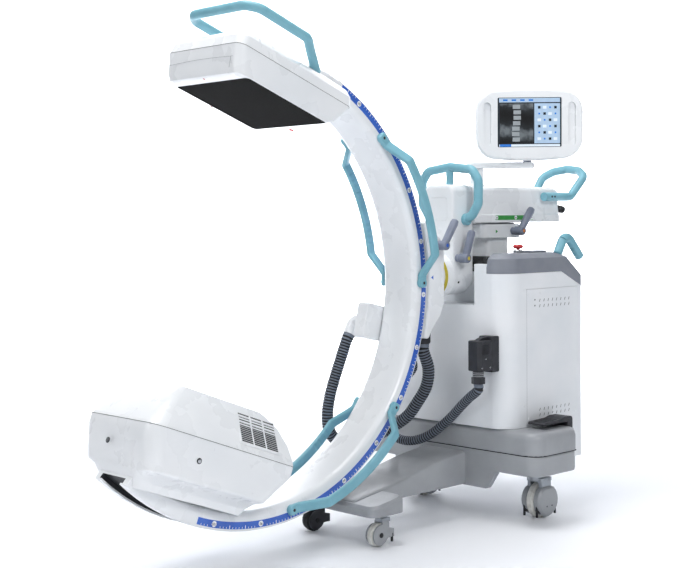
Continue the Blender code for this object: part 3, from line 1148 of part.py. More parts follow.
# The C and all that it carries are modelled about its centre and hang on one turned empty
def c_profile(centre):
    edge = 0.006
    mouth = TRACK_MOUTH
    under = TRACK_UNDERCUT
    lip = RING_OUTER - TRACK_LIP
    floor = RING_OUTER - TRACK_DEPTH
    half = RING_HALF_WIDTH
    outside = [(RING_INNER, half - 0.016), (RING_INNER + 0.012, half), (RING_OUTER - edge, half),
               (RING_OUTER, half - edge),
               (RING_OUTER, mouth), (lip, mouth), (lip, under), (floor, under)]
    section = outside + [(r, -y) for r, y in reversed(outside)]
    ring = swept(section, RING_TAIL, RING_TIP, RING_TURN)
    node(ring, "c_ring", "white", None, centre)

    # Grips: flat bars bent out from two feet, with finger grooves near both ends
    for angles, words in ((UPPER_GRIP, "upper"), (LOWER_GRIP, "lower")):
        first, last = angles
        side = RING_HALF_WIDTH + SEAT
        foot_r = RING_OUTER - 0.035
        bar_y = side + GRIP_STANDOFF
        run = math.degrees(GRIP_FOOT_LENGTH / RING_OUTER)
        slope = math.degrees(0.075 / RING_OUTER)
        stations = [(foot_r, first + run * 0.35, side + 0.009), (foot_r, first - run * 0.4, side + 0.009),
                    (foot_r, first - run * 0.7, side + 0.015),
                    (foot_r, first - slope - run * 0.35, bar_y - 0.006),
                    (foot_r, first - slope - run * 0.6, bar_y)]
        middle = []
        begin = first - slope - run
        finish_angle = last + slope + run
        count = max(4, round(abs(begin - finish_angle) / 6))
        for k in range(count + 1):
            middle.append((foot_r, begin + (finish_angle - begin) * k / count, bar_y))
        ends = [(r, last + (first - a), y) for r, a, y in reversed(stations)]
        path = []
        across = []
        for r, a, y in stations + middle + ends:
            path.append(ring_point(r, a, -y))
            across.append(ring_point(1, a, 0))
        w = GRIP_WIDTH / 2
        section = [(-w * 0.6, -0.009), (w * 0.6, -0.009), (w, -0.004), (w, 0.004), (w * 0.6, 0.009),
                   (-w * 0.6, 0.009),
                   (-w, 0.004), (-w, -0.004)]
        grip = bar(path, section, across)
        for a in (first, last):
            toward = first if a == first else last
            pad = ring_point(foot_r, toward, -side - 0.0065)
            boss = rod(GRIP_WIDTH / 2 - 0.0005, -0.0065, 0.006, 0, 0, "XZ", 16)
            moved(boss, Matrix.Translation(pad))
            grip = unite(grip, boss)
        for start, way in ((begin, -1), (finish_angle, 1)):
            for k in range(4):
                a = start + way * (1.2 + 1.9 * k)
                spot = ring_point(foot_r, a, 0.0125 - bar_y)
                groove = rod(0.0068, -0.03, 0.03, 0, 0, "YZ", 8)
                moved(groove, Matrix.Translation(spot) @ Matrix.Rotation(radians(-a), 4, "Y"))
                grip = cut(grip, groove)
        grip = cut(grip,
                   swept([(RING_INNER - 0.05, -side), (RING_OUTER + 0.05, -side), (RING_OUTER + 0.05, 0),
                          (RING_INNER - 0.05, 0)],
                               last - 8, first + 8, 4))
        other = mirrored(grip)
        node(grip, words + "_grip_left", "teal", None, centre)
        node(other, words + "_grip_right", "teal", None, centre)

    # Cable entry on the right side: a box along the profile and an elbow for the hose
    side = RING_HALF_WIDTH + SEAT
    middle_r = RING_OUTER - 0.080
    plan = rectangle(-0.046, 0.046, -CABLE_BOX_LENGTH / 2, CABLE_BOX_LENGTH / 2, 0.010, 3)
    box = soften(prism(plan, 0, CABLE_BOX_DEPTH), 0.004, 2, 60)
    turn = Matrix.Rotation(radians(-CABLE_BOX_ANGLE), 4, "Y")
    stand = Matrix.Translation((middle_r, side, 0)) @ Matrix.Rotation(radians(-90), 4, "X")
    moved(box, turn @ stand)
    elbow_path = bent([(middle_r, side + CABLE_BOX_DEPTH - 0.004, 0.0),
                       (middle_r, side + CABLE_BOX_DEPTH + 0.048, 0.0),
                       (middle_r - 0.018, side + CABLE_BOX_DEPTH + 0.048, -0.052)], 0.030, 22)
    elbow = bake(tube(elbow_path, LOOP_HOSE_DIAMETER + 0.006, resolution=2))
    moved(elbow, turn)
    node(unite(box, elbow), "cable_box", "white", None, centre)
    way = (turn.to_3x3() @ (elbow_path[-1] - elbow_path[-2])).normalized()
    return turn @ elbow_path[-1] + way * SEAT, way


# Detector: housing with the entrance face, domed cover and loop handle
def detector_pieces(centre):
    half = DETECTOR_HALF_WIDTH

    def outline(front, rear, wide, corner):
        return rounded([(front, -wide), (rear, -wide), (rear, wide), (front, wide)],
                       [corner, corner * 0.6, corner * 0.6, corner], 5)

    lows = ((DETECTOR_FACE_W - 0.002, 0.022, 0.010), (DETECTOR_FACE_W, 0.016, 0.004),
            (DETECTOR_FACE_W + 0.02, 0.010, 0.002),
            (DETECTOR_SEAM_W - SEAT, 0.0, 0.0))
    body = solid([[Vector((u, y, w)) for u, y in outline(
        DETECTOR_FRONT_U + inset * 1.6, DETECTOR_REAR_U - inset * 4.2, half - side_in, DETECTOR_CORNER)]
        for w, inset, side_in in lows])
    face_view = rectangle(DETECTOR_FRONT_U + 0.062, DETECTOR_REAR_U - 0.072, -half + 0.008, half - 0.008,
                          0.012, 3)
    body = cut(body, prism(face_view, DETECTOR_FACE_W - 0.02, DETECTOR_FACE_W + 0.003))
    node(body, "detector_body", "white", None, centre)
    face_view = rectangle(DETECTOR_FRONT_U + 0.0625, DETECTOR_REAR_U - 0.0725, -half + 0.0085,
                          half - 0.0085, 0.0115, 3)
    node(prism(face_view, DETECTOR_FACE_W, DETECTOR_FACE_W + 0.003 - SEAT), "detector_face", "black", None,
         centre)

    rise = DETECTOR_COVER_HEIGHT
    tops = ((DETECTOR_SEAM_W, 0.0, 0.0), (DETECTOR_SEAM_W + rise * 0.35, 0.004, 0.004),
            (DETECTOR_SEAM_W + rise * 0.60, 0.022, 0.022),
            (DETECTOR_SEAM_W + rise * 0.79, 0.060, 0.055),
            (DETECTOR_SEAM_W + rise * 0.953, 0.115, 0.080), (DETECTOR_TOP_W, 0.150, 0.095))
    cover = solid([[Vector((u, y, w)) for u, y in outline(
        DETECTOR_FRONT_U + inset, DETECTOR_REAR_U - inset * 0.30, half - side_in,
        DETECTOR_CORNER + inset * 0.25)]
        for w, inset, side_in in tops])
    # The cover's root takes over the C's section at its tip and runs out over the dome
    tip = RING_TIP + math.degrees(SEAT / RING_INNER)
    half_root = RING_HALF_WIDTH + 0.001
    root = []
    for angle, outer in ((tip, RING_OUTER), (tip + 4, RING_OUTER), (tip + 9, RING_OUTER - 0.007),
                         (tip + 14, DETECTOR_TOP_W + 0.006),
                         (tip + 19, DETECTOR_TOP_W - 0.010)):
        a = radians(angle)
        low = DETECTOR_SEAM_W + 0.012
        section = [(RING_INNER, -half_root), (outer - 0.008, -half_root), (outer, -half_root + 0.008),
                   (outer, half_root - 0.008), (outer - 0.008, half_root), (RING_INNER, half_root)]
        ring = [Vector((r * cos(a), y, r * sin(a))) for r, y in section]
        ring += [Vector((RING_INNER * cos(a), half_root, low)),
                 Vector((RING_INNER * cos(a), -half_root, low))]
        root.append(ring)
    cover = unite(cover, solid(root))
    node(cover, "detector_cover", "white", None, centre)

    # Loop handle: a bar in front, legs back over the cover and down to its top
    bar_w = DETECTOR_TOP_W + 0.045
    front = DETECTOR_FRONT_U + 0.020
    wide = 0.155
    half_path = [(-0.050, 0.105, DETECTOR_TOP_W - 0.012), (-0.100, 0.122, DETECTOR_TOP_W + 0.024),
                 (-0.155, wide, bar_w),
                 (front + 0.030, wide, bar_w), (front, wide - 0.035, bar_w)]
    points = [(u, -y, w) for u, y, w in half_path] + [(u, y, w) for u, y, w in reversed(half_path)]
    handle = bake(tube(bent(points, 0.035, 18), DETECTOR_HANDLE, resolution=2))
    keep = bake(cover_copy(cover))
    keep.data.transform(Matrix.Translation((0, 0, SEAT)))
    handle = cut(handle, keep)
    node(handle, "detector_handle", "teal", None, centre)


def cover_copy(obj):
    """A free copy of a piece, to cut its neighbour with."""
    other = bpy.data.objects.new("guide", obj.data.copy())
    bpy.context.scene.collection.objects.link(other)
    return other


# Tube unit: lower shell that straddles the C, hipped cover with a grille
def tube_pieces(centre):
    half = TUBE_HALF_WIDTH

    def outline(front, rear, wide, corner):
        return rounded([(front, -wide), (rear, -wide), (rear, wide), (front, wide)],
                       [corner, 0.014, 0.014, corner], 5)

    levels = ((TUBE_COVE_W - 0.052, 0.052, 0.110, TUBE_SADDLE_HALF_WIDTH),
              (TUBE_COVE_W - 0.030, 0.046, 0.098, TUBE_SADDLE_HALF_WIDTH + 0.004),
              (TUBE_COVE_W - 0.010, 0.038, 0.085, TUBE_SADDLE_HALF_WIDTH + 0.022), (TUBE_COVE_W, 0.032,
                                                                                    0.076, half - 0.004),
              (TUBE_COVE_W + 0.006, 0.031, 0.072, half), (TUBE_SEAM_W - 0.03, 0.0, 0.0,
                                                          half), (TUBE_SEAM_W - SEAT, 0.0, 0.0, half))
    body = solid([[Vector((u, y, w)) for u,
                   y in outline(TUBE_FRONT_U + front, TUBE_REAR_U - rear, wide, TUBE_CORNER)]
                  for w, front, rear, wide in levels])
    slot = swept([(RING_INNER - SEAT, -RING_HALF_WIDTH - SEAT),
                  (RING_OUTER + 0.08, -RING_HALF_WIDTH - SEAT),
                  (RING_OUTER + 0.08, RING_HALF_WIDTH + SEAT), (RING_INNER - SEAT, RING_HALF_WIDTH + SEAT)],
                 RING_TAIL - 8 * RING_TURN, RING_TAIL + 16 * RING_TURN, RING_TURN)
    body = cut(body, slot)
    node(body, "tube_body", "white", None, centre)

    tops = ((TUBE_SEAM_W, 0.0, 0.0, 0.0), (TUBE_SEAM_W + 0.010, 0.004, 0.002, 0.003),
            (TUBE_SEAM_W + 0.055, 0.040, 0.016, 0.030),
            (TUBE_SEAM_W + 0.095, 0.078, 0.045, 0.056), (TUBE_TOP_W - 0.010, 0.108, 0.085,
                                                         0.076), (TUBE_TOP_W, 0.122, 0.105, 0.086))
    cover = solid([[Vector((u, y, w)) for u, y in outline(
        TUBE_FRONT_U + front, TUBE_REAR_U - rear, half - side_in, max(0.012, TUBE_CORNER - front * 0.25))]
        for w, front, rear, side_in in tops])
    # Grille: rows of slots in three columns on the left slope
    bm = bmesh.new()
    low = Vector((0, -half + 0.012, TUBE_SEAM_W + 0.026))
    high = Vector((0, -half + 0.068, TUBE_TOP_W - 0.024))
    along = (high - low).normalized()
    out = Vector((0, -along.z, along.y))
    for column in range(3):
        for row in range(GRILLE_SLOTS):
            start = low.lerp(high, (row + 0.25) / GRILLE_SLOTS)
            corner = start + Vector((0.004 + column * 0.050, 0, 0))
            rings = []
            for depth in (-0.010, 0.012):
                place = corner + out * depth
                rings.append([bm.verts.new(place + Vector((a, 0, 0)) + along * b) for a, b in
                              ((0, 0), (0.043, 0), (0.043, 0.0052), (0, 0.0052))])
            for j in range(4):
                bm.faces.new((rings[0][j], rings[0][(j + 1) % 4], rings[1][(j + 1) % 4], rings[1][j]))
            bm.faces.new(rings[0])
            bm.faces.new(rings[1])
    cover = cut(cover, finish(bm))
    node(cover, "tube_cover", "white", None, centre)


# Monitor on a post, a swivel arm and a tilting knuckle
def monitor_pieces():
    post = turned([(MONITOR_POST_RADIUS + 0.006, ARM_TOP_Z - 0.001 + SEAT),
                   (MONITOR_POST_RADIUS + 0.006, ARM_TOP_Z + 0.007),
                   (MONITOR_POST_RADIUS, ARM_TOP_Z + 0.010), (MONITOR_POST_RADIUS, MONITOR_ARM_Z - SEAT),
                   (0.0145, MONITOR_ARM_Z - SEAT), (0.0145,
                                                    MONITOR_ARM_Z + 0.012)], MONITOR_POST_X, 0, steps=24)
    node(post, "monitor_post", "white")

    # Pieces from here on are drawn along +X and turned to the screen's own direction
    turn = Matrix.Translation((MONITOR_POST_X, 0, 0)) @ Matrix.Rotation(radians(MONITOR_TURN - 90), 4, "Z")
    top = MONITOR_ARM_Z + MONITOR_ARM_HEIGHT
    left = [(0.038 * cos(radians(a)), 0.038 * sin(radians(a))) for a in range(90, 271, 15)]
    right = [(MONITOR_ARM_LENGTH + 0.026 * cos(radians(a)), 0.026 * sin(radians(a))) for a in range(-90,
                                                                                                    91, 15)]
    arm = soften(prism(left + right, MONITOR_ARM_Z, top), 0.003, 1, 60)
    arm = cut(arm, rod(0.0145 + SLIDE, MONITOR_ARM_Z - 0.01, MONITOR_ARM_Z + 0.013, 0, 0, steps=24))
    arm = cut(arm, rod(0.0105 + SLIDE, MONITOR_ARM_Z + 0.006, top + 0.01, MONITOR_ARM_LENGTH, 0, steps=20))
    moved(arm, turn)
    node(arm, "monitor_arm", "white", (MONITOR_POST_X, 0, MONITOR_ARM_Z))

    tilt_z = MONITOR_BOTTOM_Z + MONITOR_HEIGHT / 2
    away = MONITOR_ARM_LENGTH
    stem = rod(0.0105, MONITOR_ARM_Z + 0.008, top + 0.004, away, 0, steps=20)
    column = rod(0.0155, top + SEAT, tilt_z - 0.008, away, 0, steps=20)
    eye = rod(0.0165, away - 0.017, away + 0.017, 0, tilt_z, "YZ", 20)
    knuckle = unite(column, stem, eye)
    knuckle = cut(knuckle, rod(0.006 + SLIDE, away - 0.03, away + 0.03, 0, tilt_z, "YZ", 16))
    moved(knuckle, turn)
    pivot = turn @ Vector((away, 0, 0))
    node(knuckle, "monitor_knuckle", "dark_grey", (pivot.x, pivot.y, top))

    # Housing: bowed outline, rounded rim, a lug on each side of the knuckle and the screen's recess
    back = -MONITOR_OFFSET + 0.022
    front = back - MONITOR_DEPTH
    w = MONITOR_WIDTH / 2
    h = MONITOR_HEIGHT / 2

    def bowed(inset):
        wide = w - inset
        tall = h - inset
        points = []
        for sx, sz in ((1, 1), (-1, 1), (-1, -1), (1, -1)):
            arc = []
            for k in range(5):
                a = radians(90 * k / 4)
                r = 0.062 - inset
                px = wide - r + r * cos(a)
                pz = tall - r + r * sin(a)
                pz += MONITOR_BOW * (1 - (px / wide) ** 2)
                arc.append((sx * px, sz * pz))
            if sx * sz < 0:
                arc.reverse()
            points += arc
            if sz > 0 and sx > 0:
                points += [(wide * t, tall + MONITOR_BOW * (1 - t * t)) for t in (0.45, 0.2, -0.2, -0.45)]
            if sz < 0 and sx < 0:
                points += [(wide * t, -tall - MONITOR_BOW * (1 - t * t)) for t in (-0.45, -0.2, 0.2, 0.45)]
        return points

    rings = []
    for y, inset in ((front, 0.008), (front + 0.003, 0.003), (front + 0.010, 0.0), (back - 0.014, 0.0),
                     (back - 0.004, 0.008), (back, 0.022)):
        rings.append([Vector((away + a, y, tilt_z + b)) for a, b in bowed(inset)])
    housing = solid(rings)
    screen_z = tilt_z + 0.008
    half_w = SCREEN_WIDTH / 2
    half_h = SCREEN_HEIGHT / 2
    well = rectangle(away - half_w, away + half_w, screen_z - half_h, screen_z + half_h, 0.004, 2)
    housing = cut(housing, prism(well, front - 0.01, front + 0.004, "XZ"))
    for side in (-1, 1):
        middle = away + side * (SCREEN_WIDTH / 2 + 0.0365)
        slot = rectangle(middle - 0.013, middle + 0.013, tilt_z - 0.074, tilt_z + 0.078, 0.012, 3)
        housing = cut(housing, prism(slot, front - 0.01, front + 0.009, "XZ"))
        lug_view = rounded([(back - 0.004, tilt_z - 0.020), (0.0, tilt_z - 0.014),
                            (0.014, tilt_z - 0.006), (0.014, tilt_z + 0.006),
                            (0.0, tilt_z + 0.014), (back - 0.004, tilt_z + 0.020)],
                           [0, 0.01, 0.01, 0.01, 0.01, 0], 2)
        lug = prism(lug_view, *sorted((away + side * 0.0176, away + side * 0.025)), "YZ")
        housing = unite(housing, lug)
    housing = unite(housing, rod(0.006, away - 0.020, away + 0.020, 0, tilt_z, "YZ", 16))
    moved(housing, turn)
    node(housing, "monitor_housing", "white", (pivot.x, pivot.y, tilt_z))
    half_w -= SEAT
    half_h -= SEAT
    pane = rectangle(away - half_w, away + half_w, screen_z - half_h, screen_z + half_h, 0.0037, 2)
    screen = prism(pane, front + 0.0015, front + 0.004 - SEAT, "XZ")
    moved(screen, turn)
    node(screen, "monitor_screen", "screen", (pivot.x, pivot.y, tilt_z))


def main():
    base_pieces()
    rear_casters()
    front_casters()
    plug_end = cart_pieces()
    column_and_arm()
    levers()
    loop_start, cart_far = carriage_pieces()

    centre = bpy.data.objects.new("c_centre", None)
    centre.location = (RING_X, 0, RING_CENTRE_Z)
    centre.rotation_euler = (0, radians(ORBIT), 0)
    bpy.context.scene.collection.objects.link(centre)
    box_end, box_way = c_profile(centre)
    detector_pieces(centre)
    tube_pieces(centre)
    monitor_pieces()

    # Hoses: the route points were read off the photograph, between the two fittings of each
    place = Matrix.Translation(centre.location) @ Matrix.Rotation(radians(ORBIT), 4, "Y")
    end = place @ box_end
    into = (place.to_3x3() @ box_way).normalized()
    cx = RING_X
    down = Vector((0, 0, -1))
    loop_route = [(cx + 0.768, -0.036, 0.500), (cx + 0.762, 0.000, 0.425), (cx + 0.752, 0.057, 0.352),
                  (cx + 0.715, 0.125, 0.300), (cx + 0.640, 0.178, 0.262), (cx + 0.560, 0.200, 0.272),
                  (cx + 0.515, 0.200, 0.325), (cx + 0.510, 0.196, 0.395), (cx + 0.528, 0.190, 0.474)]
    hose("loop_hose", loop_start, down, loop_route, end, into, LOOP_HOSE_DIAMETER)
    cart_route = [(cx + 0.822, -0.150, 0.416), (cx + 0.826, -0.075, 0.350), (cx + 0.812, 0.000, 0.290),
                  (cx + 0.798, 0.070, 0.262), (cx + 0.790, 0.140, 0.264), (cx + 0.790, 0.195, 0.312),
                  (cx + 0.796, 0.190, 0.390), (cx + 0.800, 0.130, 0.460), (cx + 0.800, 0.070, 0.520)]
    hose("cart_hose", plug_end, down, cart_route, cart_far, down, CART_HOSE_DIAMETER)


def hose(name, start, start_way, route, end, end_way, diameter):
    """A hose that leaves and enters its fittings straight, and flows through the route between."""
    straight = diameter * 0.6
    inner = [start + start_way * straight] + [Vector(p) for p in route] + [end + end_way * straight]
    path = [start] + flowing(inner, diameter * 1.6) + [end]
    piece = tube(path, diameter, name, 2)
    piece.data.materials.append(look("hose"))


main()
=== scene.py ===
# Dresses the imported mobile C-arm X-ray stand: fine skins over the solids, hoses, scales, screws and finishes
import json
import math

import bmesh
import bpy
from mathutils import Matrix, Vector


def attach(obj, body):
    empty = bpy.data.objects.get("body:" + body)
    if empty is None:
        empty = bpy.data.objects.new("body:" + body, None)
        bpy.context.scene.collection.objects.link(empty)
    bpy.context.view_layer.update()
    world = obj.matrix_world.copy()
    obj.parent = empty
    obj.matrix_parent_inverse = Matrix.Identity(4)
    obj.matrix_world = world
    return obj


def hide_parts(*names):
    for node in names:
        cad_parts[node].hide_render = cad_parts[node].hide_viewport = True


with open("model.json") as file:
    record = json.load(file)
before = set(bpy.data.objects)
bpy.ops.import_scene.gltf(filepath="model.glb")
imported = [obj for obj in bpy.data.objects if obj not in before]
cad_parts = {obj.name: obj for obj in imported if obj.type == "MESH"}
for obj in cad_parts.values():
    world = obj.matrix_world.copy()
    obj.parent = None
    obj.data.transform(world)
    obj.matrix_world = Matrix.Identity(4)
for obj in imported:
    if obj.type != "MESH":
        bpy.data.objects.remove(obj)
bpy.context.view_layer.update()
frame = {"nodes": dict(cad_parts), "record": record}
nodeBody = {n: b for b, names in frame["record"]["behaviour"]["bodies"].items() for n in names}
print("frame loaded:", len(frame["nodes"]), "nodes")

# The C's own circle, shared by its profile, scales and heads, in metres and degrees
gantry = {"centre": Vector((-0.5596, 0.0, 0.832)), "turn": 20.77, "inner": 0.658, "outer": 0.718, "half": 0.0765,
          "tip": 63.63, "tail": -134.27}

# Camera at the photograph's place, in metres, degrees and millimetres of focal length
camera = {"spot": (-3.0483, -3.0236, 1.0408), "yaw": 46.115, "pitch": -2.892, "roll": -0.541, "focal": 67.104}


def placeCamera():
    yaw = math.radians(camera["yaw"])
    pitch = math.radians(camera["pitch"])
    roll = math.radians(camera["roll"])
    ahead = Vector((math.cos(pitch) * math.cos(yaw), math.cos(pitch) * math.sin(yaw), math.sin(pitch)))
    right = Vector((math.sin(yaw), -math.cos(yaw), 0))
    up = right.cross(ahead)
    across = right * math.cos(roll) + up * math.sin(roll)
    upward = up * math.cos(roll) - right * math.sin(roll)
    data = bpy.data.cameras.new("photoCamera")
    data.sensor_width = 36
    data.sensor_fit = "HORIZONTAL"
    data.lens = camera["focal"]
    data.clip_end = 100
    lens = bpy.data.objects.new("photoCamera", data)
    turn = Matrix((across, upward, -ahead)).transposed().to_4x4()
    lens.matrix_world = Matrix.Translation(camera["spot"]) @ turn
    bpy.context.scene.collection.objects.link(lens)
    bpy.context.scene.camera = lens


placeCamera()


def linear(code):
    parts = [int(code[i:i + 2], 16) / 255 for i in (0, 2, 4)]  # sRGB hex to the linear colour of shaders
    return (*[c / 12.92 if c <= 0.04045 else ((c + 0.055) / 1.055) ** 2.4 for c in parts], 1.0)


def addNode(tree, kind, settings=None, links=None):
    made = tree.nodes.new(kind)
    for key, value in (settings or {}).items():
        if isinstance(key, int) or key in made.inputs:
            made.inputs[key].default_value = value
        else:
            setattr(made, key, value)
    for key, source in (links or {}).items():
        tree.links.new(source, made.inputs[key])
    return made


def startMaterial(name):
    material = bpy.data.materials.new(name)
    material.use_nodes = True
    tree = material.node_tree
    tree.nodes.clear()
    out = addNode(tree, "ShaderNodeOutputMaterial")
    shader = addNode(tree, "ShaderNodeBsdfPrincipled")
    tree.links.new(shader.outputs["BSDF"], out.inputs["Surface"])
    place = addNode(tree, "ShaderNodeTexCoord").outputs["Object"]
    return material, tree, shader, place


# Painted and moulded skins: two close tones in soft patches, a fine surface texture and uneven gloss
skins = {
    # Polyurethane enamel sprayed on glass-fibre shells: bright, faint orange peel, soft reflections
    "sprayedEnamel": {"hex": "EDEFF1", "second": "E6E9EC", "patchMm": 260, "grainMm": 2.4, "bump": 0.035,
                      "rough": (0.24, 0.33), "coat": 0.35, "ior": 1.50},
    # Powder coat on pressed sheet, a little drier and cooler than the sprayed shells
    "powderCoat": {"hex": "E9EBEE", "second": "E1E5E9", "patchMm": 180, "grainMm": 1.1, "bump": 0.08,
                   "rough": (0.36, 0.46), "coat": 0.0, "ior": 1.50},
    # Soft-touch polyurethane over the grips: satin, a faint matt bloom where hands hold it
    "softTouchTeal": {"hex": "7DB4C3", "second": "72A9B9", "patchMm": 70, "grainMm": 0.7, "bump": 0.10,
                      "rough": (0.38, 0.52), "coat": 0.10, "ior": 1.46},
    # Painted aluminium casting: slightly pebbled skin under grey enamel
    "castGrey": {"hex": "9FA2A6", "second": "94979C", "patchMm": 140, "grainMm": 1.8, "bump": 0.16,
                 "rough": (0.36, 0.48), "coat": 0.12, "ior": 1.50},
    # Moulded ABS cover of the cart's top: mid grey, spark-eroded texture
    "mouldedAbs": {"hex": "858992", "second": "7B7F89", "patchMm": 90, "grainMm": 0.9, "bump": 0.14,
                   "rough": (0.40, 0.52), "coat": 0.0, "ior": 1.53},
    # Glass-filled nylon of the plug, glands and pedals: charcoal, slightly speckled
    "filledNylon": {"hex": "26282F", "second": "1E2026", "patchMm": 30, "grainMm": 0.8, "bump": 0.22,
                    "rough": (0.46, 0.60), "coat": 0.0, "ior": 1.53},
    # Cast lever grips in grey polyamide: smoother, with a dull sheen
    "leverPolyamide": {"hex": "7C8395", "second": "717889", "patchMm": 40, "grainMm": 0.6, "bump": 0.10,
                       "rough": (0.34, 0.46), "coat": 0.08, "ior": 1.53},
    # Polished black tray plastic: deep, with clear reflections of the column
    "pianoBlack": {"hex": "141618", "second": "0E1012", "patchMm": 60, "grainMm": 1.4, "bump": 0.02,
                   "rough": (0.10, 0.20), "coat": 0.5, "ior": 1.50},
    # Carbon laminate of the entrance window under matt lacquer: almost black
    "carbonLacquer": {"hex": "040405", "second": "070708", "patchMm": 6, "grainMm": 1.0, "bump": 0.05,
                      "rough": (0.70, 0.82), "coat": 0.0, "ior": 1.50, "specular": 0.06},
    # Cast polyurethane tread: milky white, scuffed
    "castTread": {"hex": "E4E4DF", "second": "C9C8C1", "patchMm": 16, "grainMm": 0.9, "bump": 0.18,
                  "rough": (0.48, 0.66), "coat": 0.0, "ior": 1.48},
    # Black rubber of rods and feet; the same black is painted shade in the base's seam and in the hose's grooves
    "blackRubberAndShade": {"hex": "0E0F12", "second": "17181D", "patchMm": 14, "grainMm": 0.8, "bump": 0.20,
                    "rough": (0.60, 0.76), "coat": 0.0, "ior": 1.50},
    # Corrugated hose in grey thermoplastic: satin crests
    "hosePlastic": {"hex": "69727F", "second": "5C6572", "patchMm": 60, "grainMm": 0.8, "bump": 0.12,
                    "rough": (0.38, 0.52), "coat": 0.05, "ior": 1.50},
    # Glossy red phenolic of the stop button
    "redPhenolic": {"hex": "C5242B", "second": "B21D24", "patchMm": 12, "grainMm": 0.6, "bump": 0.04,
                    "rough": (0.18, 0.28), "coat": 0.4, "ior": 1.55},
    # Printed polyester labels of the scales: flat ink under a satin film
    "inkBlue": {"hex": "2F62C4", "second": "2858B6", "patchMm": 50, "grainMm": 0.5, "bump": 0.02,
                "rough": (0.32, 0.40), "coat": 0.2, "ior": 1.57},
    "inkWhite": {"hex": "F2F4F6", "second": "E8EBEE", "patchMm": 20, "grainMm": 0.5, "bump": 0.02,
                 "rough": (0.34, 0.42), "coat": 0.2, "ior": 1.57},
    # The dark ink is also painted shade: in the side and hatch vents, the grille's slots and the screw sockets
    "inkDarkAndShade": {"hex": "0E0F12", "second": "15171B", "patchMm": 20, "grainMm": 0.5, "bump": 0.02,
                "rough": (0.34, 0.46), "coat": 0.1, "ior": 1.57},
    "inkYellow": {"hex": "D8C63E", "second": "CDBB35", "patchMm": 20, "grainMm": 0.5, "bump": 0.02,
                  "rough": (0.32, 0.42), "coat": 0.2, "ior": 1.57},
    "inkGreen": {"hex": "2F9A3D", "second": "298C36", "patchMm": 20, "grainMm": 0.5, "bump": 0.02,
                 "rough": (0.32, 0.42), "coat": 0.2, "ior": 1.57},
    "inkOrange": {"hex": "D67A2A", "second": "C86F24", "patchMm": 10, "grainMm": 0.5, "bump": 0.02,
                  "rough": (0.30, 0.40), "coat": 0.2, "ior": 1.57},
}


def skinMaterial(name):
    look = skins[name]
    material, tree, shader, place = startMaterial(name)
    patches = addNode(tree, "ShaderNodeTexNoise", {"Scale": 1000 / look["patchMm"], "Detail": 3.0}, {"Vector": place})
    tones = addNode(tree, "ShaderNodeValToRGB", links={"Fac": patches.outputs["Fac"]})
    tones.color_ramp.elements[0].position = 0.35
    tones.color_ramp.elements[0].color = linear(look["hex"])
    tones.color_ramp.elements[1].position = 0.68
    tones.color_ramp.elements[1].color = linear(look["second"])
    grain = addNode(tree, "ShaderNodeTexNoise", {"Scale": 1000 / look["grainMm"], "Detail": 2.0}, {"Vector": place})
    gloss = addNode(tree, "ShaderNodeTexNoise", {"Scale": 1000 / (look["patchMm"] * 0.4), "Detail": 4.0},
                    {"Vector": place})
    span = addNode(tree, "ShaderNodeMapRange", {"From Min": 0.3, "From Max": 0.7, "To Min": look["rough"][0],
                                                "To Max": look["rough"][1]}, {"Value": gloss.outputs["Fac"]})
    relief = addNode(tree, "ShaderNodeBump", {"Strength": look["bump"], "Distance": look["grainMm"] / 1000},
                     {"Height": grain.outputs["Fac"]})
    tree.links.new(tones.outputs["Color"], shader.inputs["Base Color"])
    tree.links.new(span.outputs["Result"], shader.inputs["Roughness"])
    tree.links.new(relief.outputs["Normal"], shader.inputs["Normal"])
    shader.inputs["IOR"].default_value = look["ior"]
    shader.inputs["Specular IOR Level"].default_value = look.get("specular", 0.5)
    shader.inputs["Coat Weight"].default_value = look["coat"]
    shader.inputs["Coat Roughness"].default_value = 0.12
    return material


# Bare metals: fine lines from the tool run along one direction
metals = {
    # Turned and brushed stainless of the stop button's collar and the screws
    "turnedStainless": {"hex": "C3C5C8", "second": "A9ABAF", "lineMm": (0.5, 0.5, 6.0), "rough": (0.18, 0.32)},
    # Zinc-plated pressings of the caster brackets: duller, slightly blue
    "zincPlate": {"hex": "A8ADB3", "second": "8C9197", "lineMm": (4.0, 4.0, 1.2), "rough": (0.30, 0.46)},
}


def metalMaterial(name):
    look = metals[name]
    material, tree, shader, place = startMaterial(name)
    squeeze = addNode(tree, "ShaderNodeMapping", {"Scale": tuple(1000 / mm for mm in look["lineMm"])},
                      {"Vector": place})
    lines = addNode(tree, "ShaderNodeTexNoise", {"Scale": 1.0, "Detail": 4.0}, {"Vector": squeeze.outputs["Vector"]})
    tones = addNode(tree, "ShaderNodeValToRGB", links={"Fac": lines.outputs["Fac"]})
    tones.color_ramp.elements[0].color = linear(look["second"])
    tones.color_ramp.elements[1].color = linear(look["hex"])
    span = addNode(tree, "ShaderNodeMapRange", {"To Min": look["rough"][0], "To Max": look["rough"][1]},
                   {"Value": lines.outputs["Fac"]})
    relief = addNode(tree, "ShaderNodeBump", {"Strength": 0.08, "Distance": 0.0003}, {"Height": lines.outputs["Fac"]})
    tree.links.new(tones.outputs["Color"], shader.inputs["Base Color"])
    tree.links.new(span.outputs["Result"], shader.inputs["Roughness"])
    tree.links.new(relief.outputs["Normal"], shader.inputs["Normal"])
    shader.inputs["Metallic"].default_value = 1.0
    return material


# The monitor's picture: a lit panel behind glass that shows a soft grey bone-like pattern and nothing readable
display = {"dark": "060708", "mid": "1C2023", "light": "5C6266", "bandMm": 17, "glow": 0.45}


